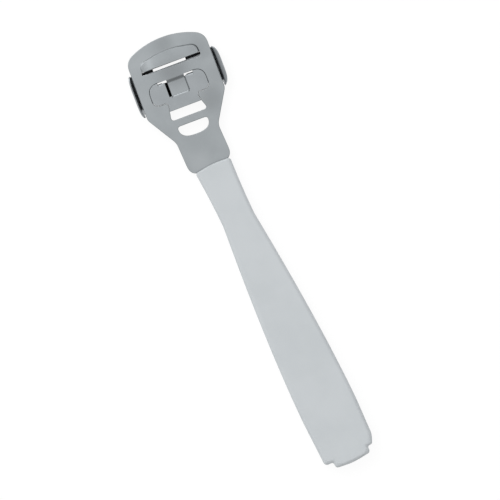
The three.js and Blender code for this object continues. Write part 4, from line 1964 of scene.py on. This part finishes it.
@dataclass
class Blade(HeadPiece):
    """The loose blade: a strip, notched behind to clear the pad and ground to an edge in front."""

    width: float = 10.0
    exposure: float = 0.8
    notch_lead: float = 0.6
    notch_clear: float = 0.35
    grind: float = 0.75
    hone: float = 0.4
    edge_thickness: float = 0.05
    hone_thickness: float = 0.15
    edge: float = 0.03
    edge_steps: int = 2
    sharp_degrees: float = 60.0

    def build(self) -> bpy.types.Object:
        """Models the blade: a grid with its notch taken out, extruded, and ground thin in front.

        Returns:
            The object, in the head's frame.
        """
        edge_x = self.bridge_front_x + self.exposure
        ends = self.plate_width / 2
        notch = [self.across(side, self.pad_width / 2 + self.notch_clear) for side in reversed(Side)]
        across = (-ends, *notch, ends)
        notch_x = self.bridge_rear_x + self.notch_lead
        hone_x = edge_x - self.hone
        along = (edge_x - self.width, notch_x, edge_x - self.grind, hone_x, edge_x)
        blade = patch("strip", [[(x, y, self.blade_bottom) for y in across] for x in along])

        def cut_and_grind(mesh: bmesh.types.BMesh) -> None:
            """Takes the notch out, gives the strip its thickness and grinds its front.

            Args:
                mesh: The edit mesh.
            """
            bpy.ops.mesh.select_mode(type="FACE")
            for face in mesh.faces:
                spot = face.calc_center_median()
                face.select_set(notch[0] < spot.y < notch[1] and spot.x < notch_x)
            bpy.ops.mesh.delete(type="FACE")
            bpy.ops.mesh.select_all(action="SELECT")
            extrude((0.0, 0.0, self.blade_thickness))
            weld(mesh)
            for x, thickness in ((hone_x, self.hone_thickness), (edge_x, self.edge_thickness)):
                select_edges(blade, lambda a, b, x=x: abs(a.x - x) < WELD and abs(b.x - x) < WELD)
                squeezed = (1.0, 1.0, thickness / self.blade_thickness)
                bpy.ops.transform.resize(value=squeezed, center_override=(x, 0.0, self.blade_bottom))

        in_edit_mode(blade, cut_and_grind)
        soften(blade, self.edge, segments=self.edge_steps, angle=self.sharp_degrees)
        smooth(blade)
        # The honed facet takes the bright edge tone too, a painted highlight along the blade's edge
        mark_edges(blade, lambda middle: middle.x > hone_x)
        return blade


# Studio


@dataclass(frozen=True)
class Lamp:
    """A soft lamp, aimed at the middle of the object."""

    name: str
    place: Place
    size: float
    power: float
    color: tuple[float, float, float] = (1.0, 1.0, 1.0)

    def hang(self, target: Vector) -> None:
        """Adds the lamp.

        Args:
            target: Where it points.
        """
        deselect_all()
        bpy.ops.object.light_add(type="AREA", location=Vector(self.place) * MM)
        lamp = bpy.context.object
        lamp.name = self.name
        lamp.data.shape = "SQUARE"
        lamp.data.size = self.size * MM
        lamp.data.energy = self.power
        lamp.data.color = self.color
        lamp.rotation_euler = (target - lamp.location).to_track_quat("-Z", "Y").to_euler()


@dataclass
class Studio:
    """The pale floor, the soft light and the camera straight above, as in the photograph."""

    view_centre: tuple[float, float] = (27.73, 1.15)
    view_width: float = 205.8
    view_turn_degrees: float = -115.5
    view_height: float = 900.0
    focus_z: float = 3.5
    sensor: float = 36.0
    floor_size: float = 20000.0
    floor_drop: float = 0.02
    floor_tone: Color = (0.9, 0.9, 0.9, 1.0)
    floor_white: float = 0.86
    white_strength: float = 1.04
    least_light: float = 0.05
    horizon: float = 0.34
    overhead: float = 0.66
    sideways: float = 0.3
    bright_side: tuple[float, float] = (0.943, 0.334)
    glow: float = 1.6
    glow_height: float = 0.8
    glow_power: float = 22.0
    lamps: tuple[Lamp, ...] = (Lamp("key_lamp", (750.0, 280.0, 800.0), 700.0, 2.0),)

    def build(self) -> None:
        """Sets up the floor, the world, the lamps and the camera."""
        self._floor()
        self._world()
        target = Vector((self.view_centre[0], self.view_centre[1], self.focus_z)) * MM
        for lamp in self.lamps:
            lamp.hang(target)
        self._camera()
        bpy.context.scene.view_settings.view_transform = "Standard"

    def _floor(self) -> None:
        """Adds the floor, white to the camera and in reflections, with the object's shadow kept."""
        deselect_all()
        drop = (0.0, 0.0, -self.floor_drop * MM)
        bpy.ops.mesh.primitive_plane_add(size=self.floor_size * MM, location=drop)
        floor = bpy.context.object
        floor.name = "pale_floor"
        material = bpy.data.materials.new("pale_floor")
        material.use_nodes = True
        nodes = Nodes(material.node_tree)
        material.node_tree.nodes.clear()
        path = nodes.add("ShaderNodeLightPath").outputs
        seen = nodes.math("MAXIMUM", path["Is Camera Ray"], path["Is Glossy Ray"])
        seen = nodes.math("MAXIMUM", seen, path["Is Transmission Ray"])
        share = nodes.math("MULTIPLY", seen, self.floor_white)
        matt = nodes.add("ShaderNodeBsdfDiffuse", {"Color": self.floor_tone})
        white = nodes.add("ShaderNodeEmission", {"Color": WHITE, "Strength": self.white_strength})
        mixed = nodes.add("ShaderNodeMixShader", {0: share, 1: matt.outputs[0], 2: white.outputs[0]})
        nodes.add("ShaderNodeOutputMaterial", {"Surface": mixed.outputs[0]})
        floor.data.materials.append(material)

    def _world(self) -> None:
        """Lights the object softly from above and from one side, darker towards the horizon."""
        world = bpy.data.worlds.new("studio")
        bpy.context.scene.world = world
        world.use_nodes = True
        world.node_tree.nodes.clear()
        nodes = Nodes(world.node_tree)
        way = nodes.add("ShaderNodeTexCoord").outputs["Generated"]
        side_x, side_y = self.bright_side
        slope = (side_x * self.sideways, side_y * self.sideways, self.overhead)
        rise = nodes.vector("DOT_PRODUCT", way, slope, "Value")
        aim = Vector((side_x, side_y, self.glow_height)).normalized()
        facing = nodes.vector("DOT_PRODUCT", way, aim, "Value")
        glow = nodes.math("POWER", nodes.math("MAXIMUM", facing, 0.0), self.glow_power)
        graded = nodes.math("MAXIMUM", nodes.math("ADD", rise, self.horizon), self.least_light)
        level = nodes.math("MULTIPLY_ADD", glow, self.glow, graded)
        soft = nodes.add("ShaderNodeBackground", {"Color": WHITE, "Strength": level})
        nodes.add("ShaderNodeOutputWorld", {"Surface": soft.outputs[0]})

    def _camera(self) -> None:
        """Hangs the camera straight above, turned so that the tool lies as in the photograph."""
        deselect_all()
        place = Vector((*self.view_centre, self.focus_z + self.view_height)) * MM
        turn = (0.0, 0.0, math.radians(self.view_turn_degrees))
        bpy.ops.object.camera_add(location=place, rotation=turn)
        camera = bpy.context.object
        camera.data.sensor_width = self.sensor
        camera.data.lens = self.sensor * self.view_height / self.view_width
        bpy.context.scene.camera = camera


def main() -> None:
    """Builds the tool and its studio, and reports each piece."""
    logging.basicConfig(level=logging.INFO, format="%(name)s: %(message)s")
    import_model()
    groups = FinishGroups()
    pieces: list[Piece] = [
        Handle("handle", Body.FRAME, MOULDED_PLASTIC),
        HeadPlate("head_plate", Body.FRAME, PRESSED_STEEL),
        BladeClip("blade_clip", Body.CLIP, SPRING_STEEL),
        Blade("blade", Body.BLADE, GROUND_STEEL),
    ]
    for piece in pieces:
        made = piece.build()
        piece.dress(made, piece.finish.build(groups))
        LOG.info("%s rides on %s with %d faces", made.name, piece.body.value, len(made.data.polygons))
    Studio().build()
    deselect_all()


if __name__ == "__main__":
    main()
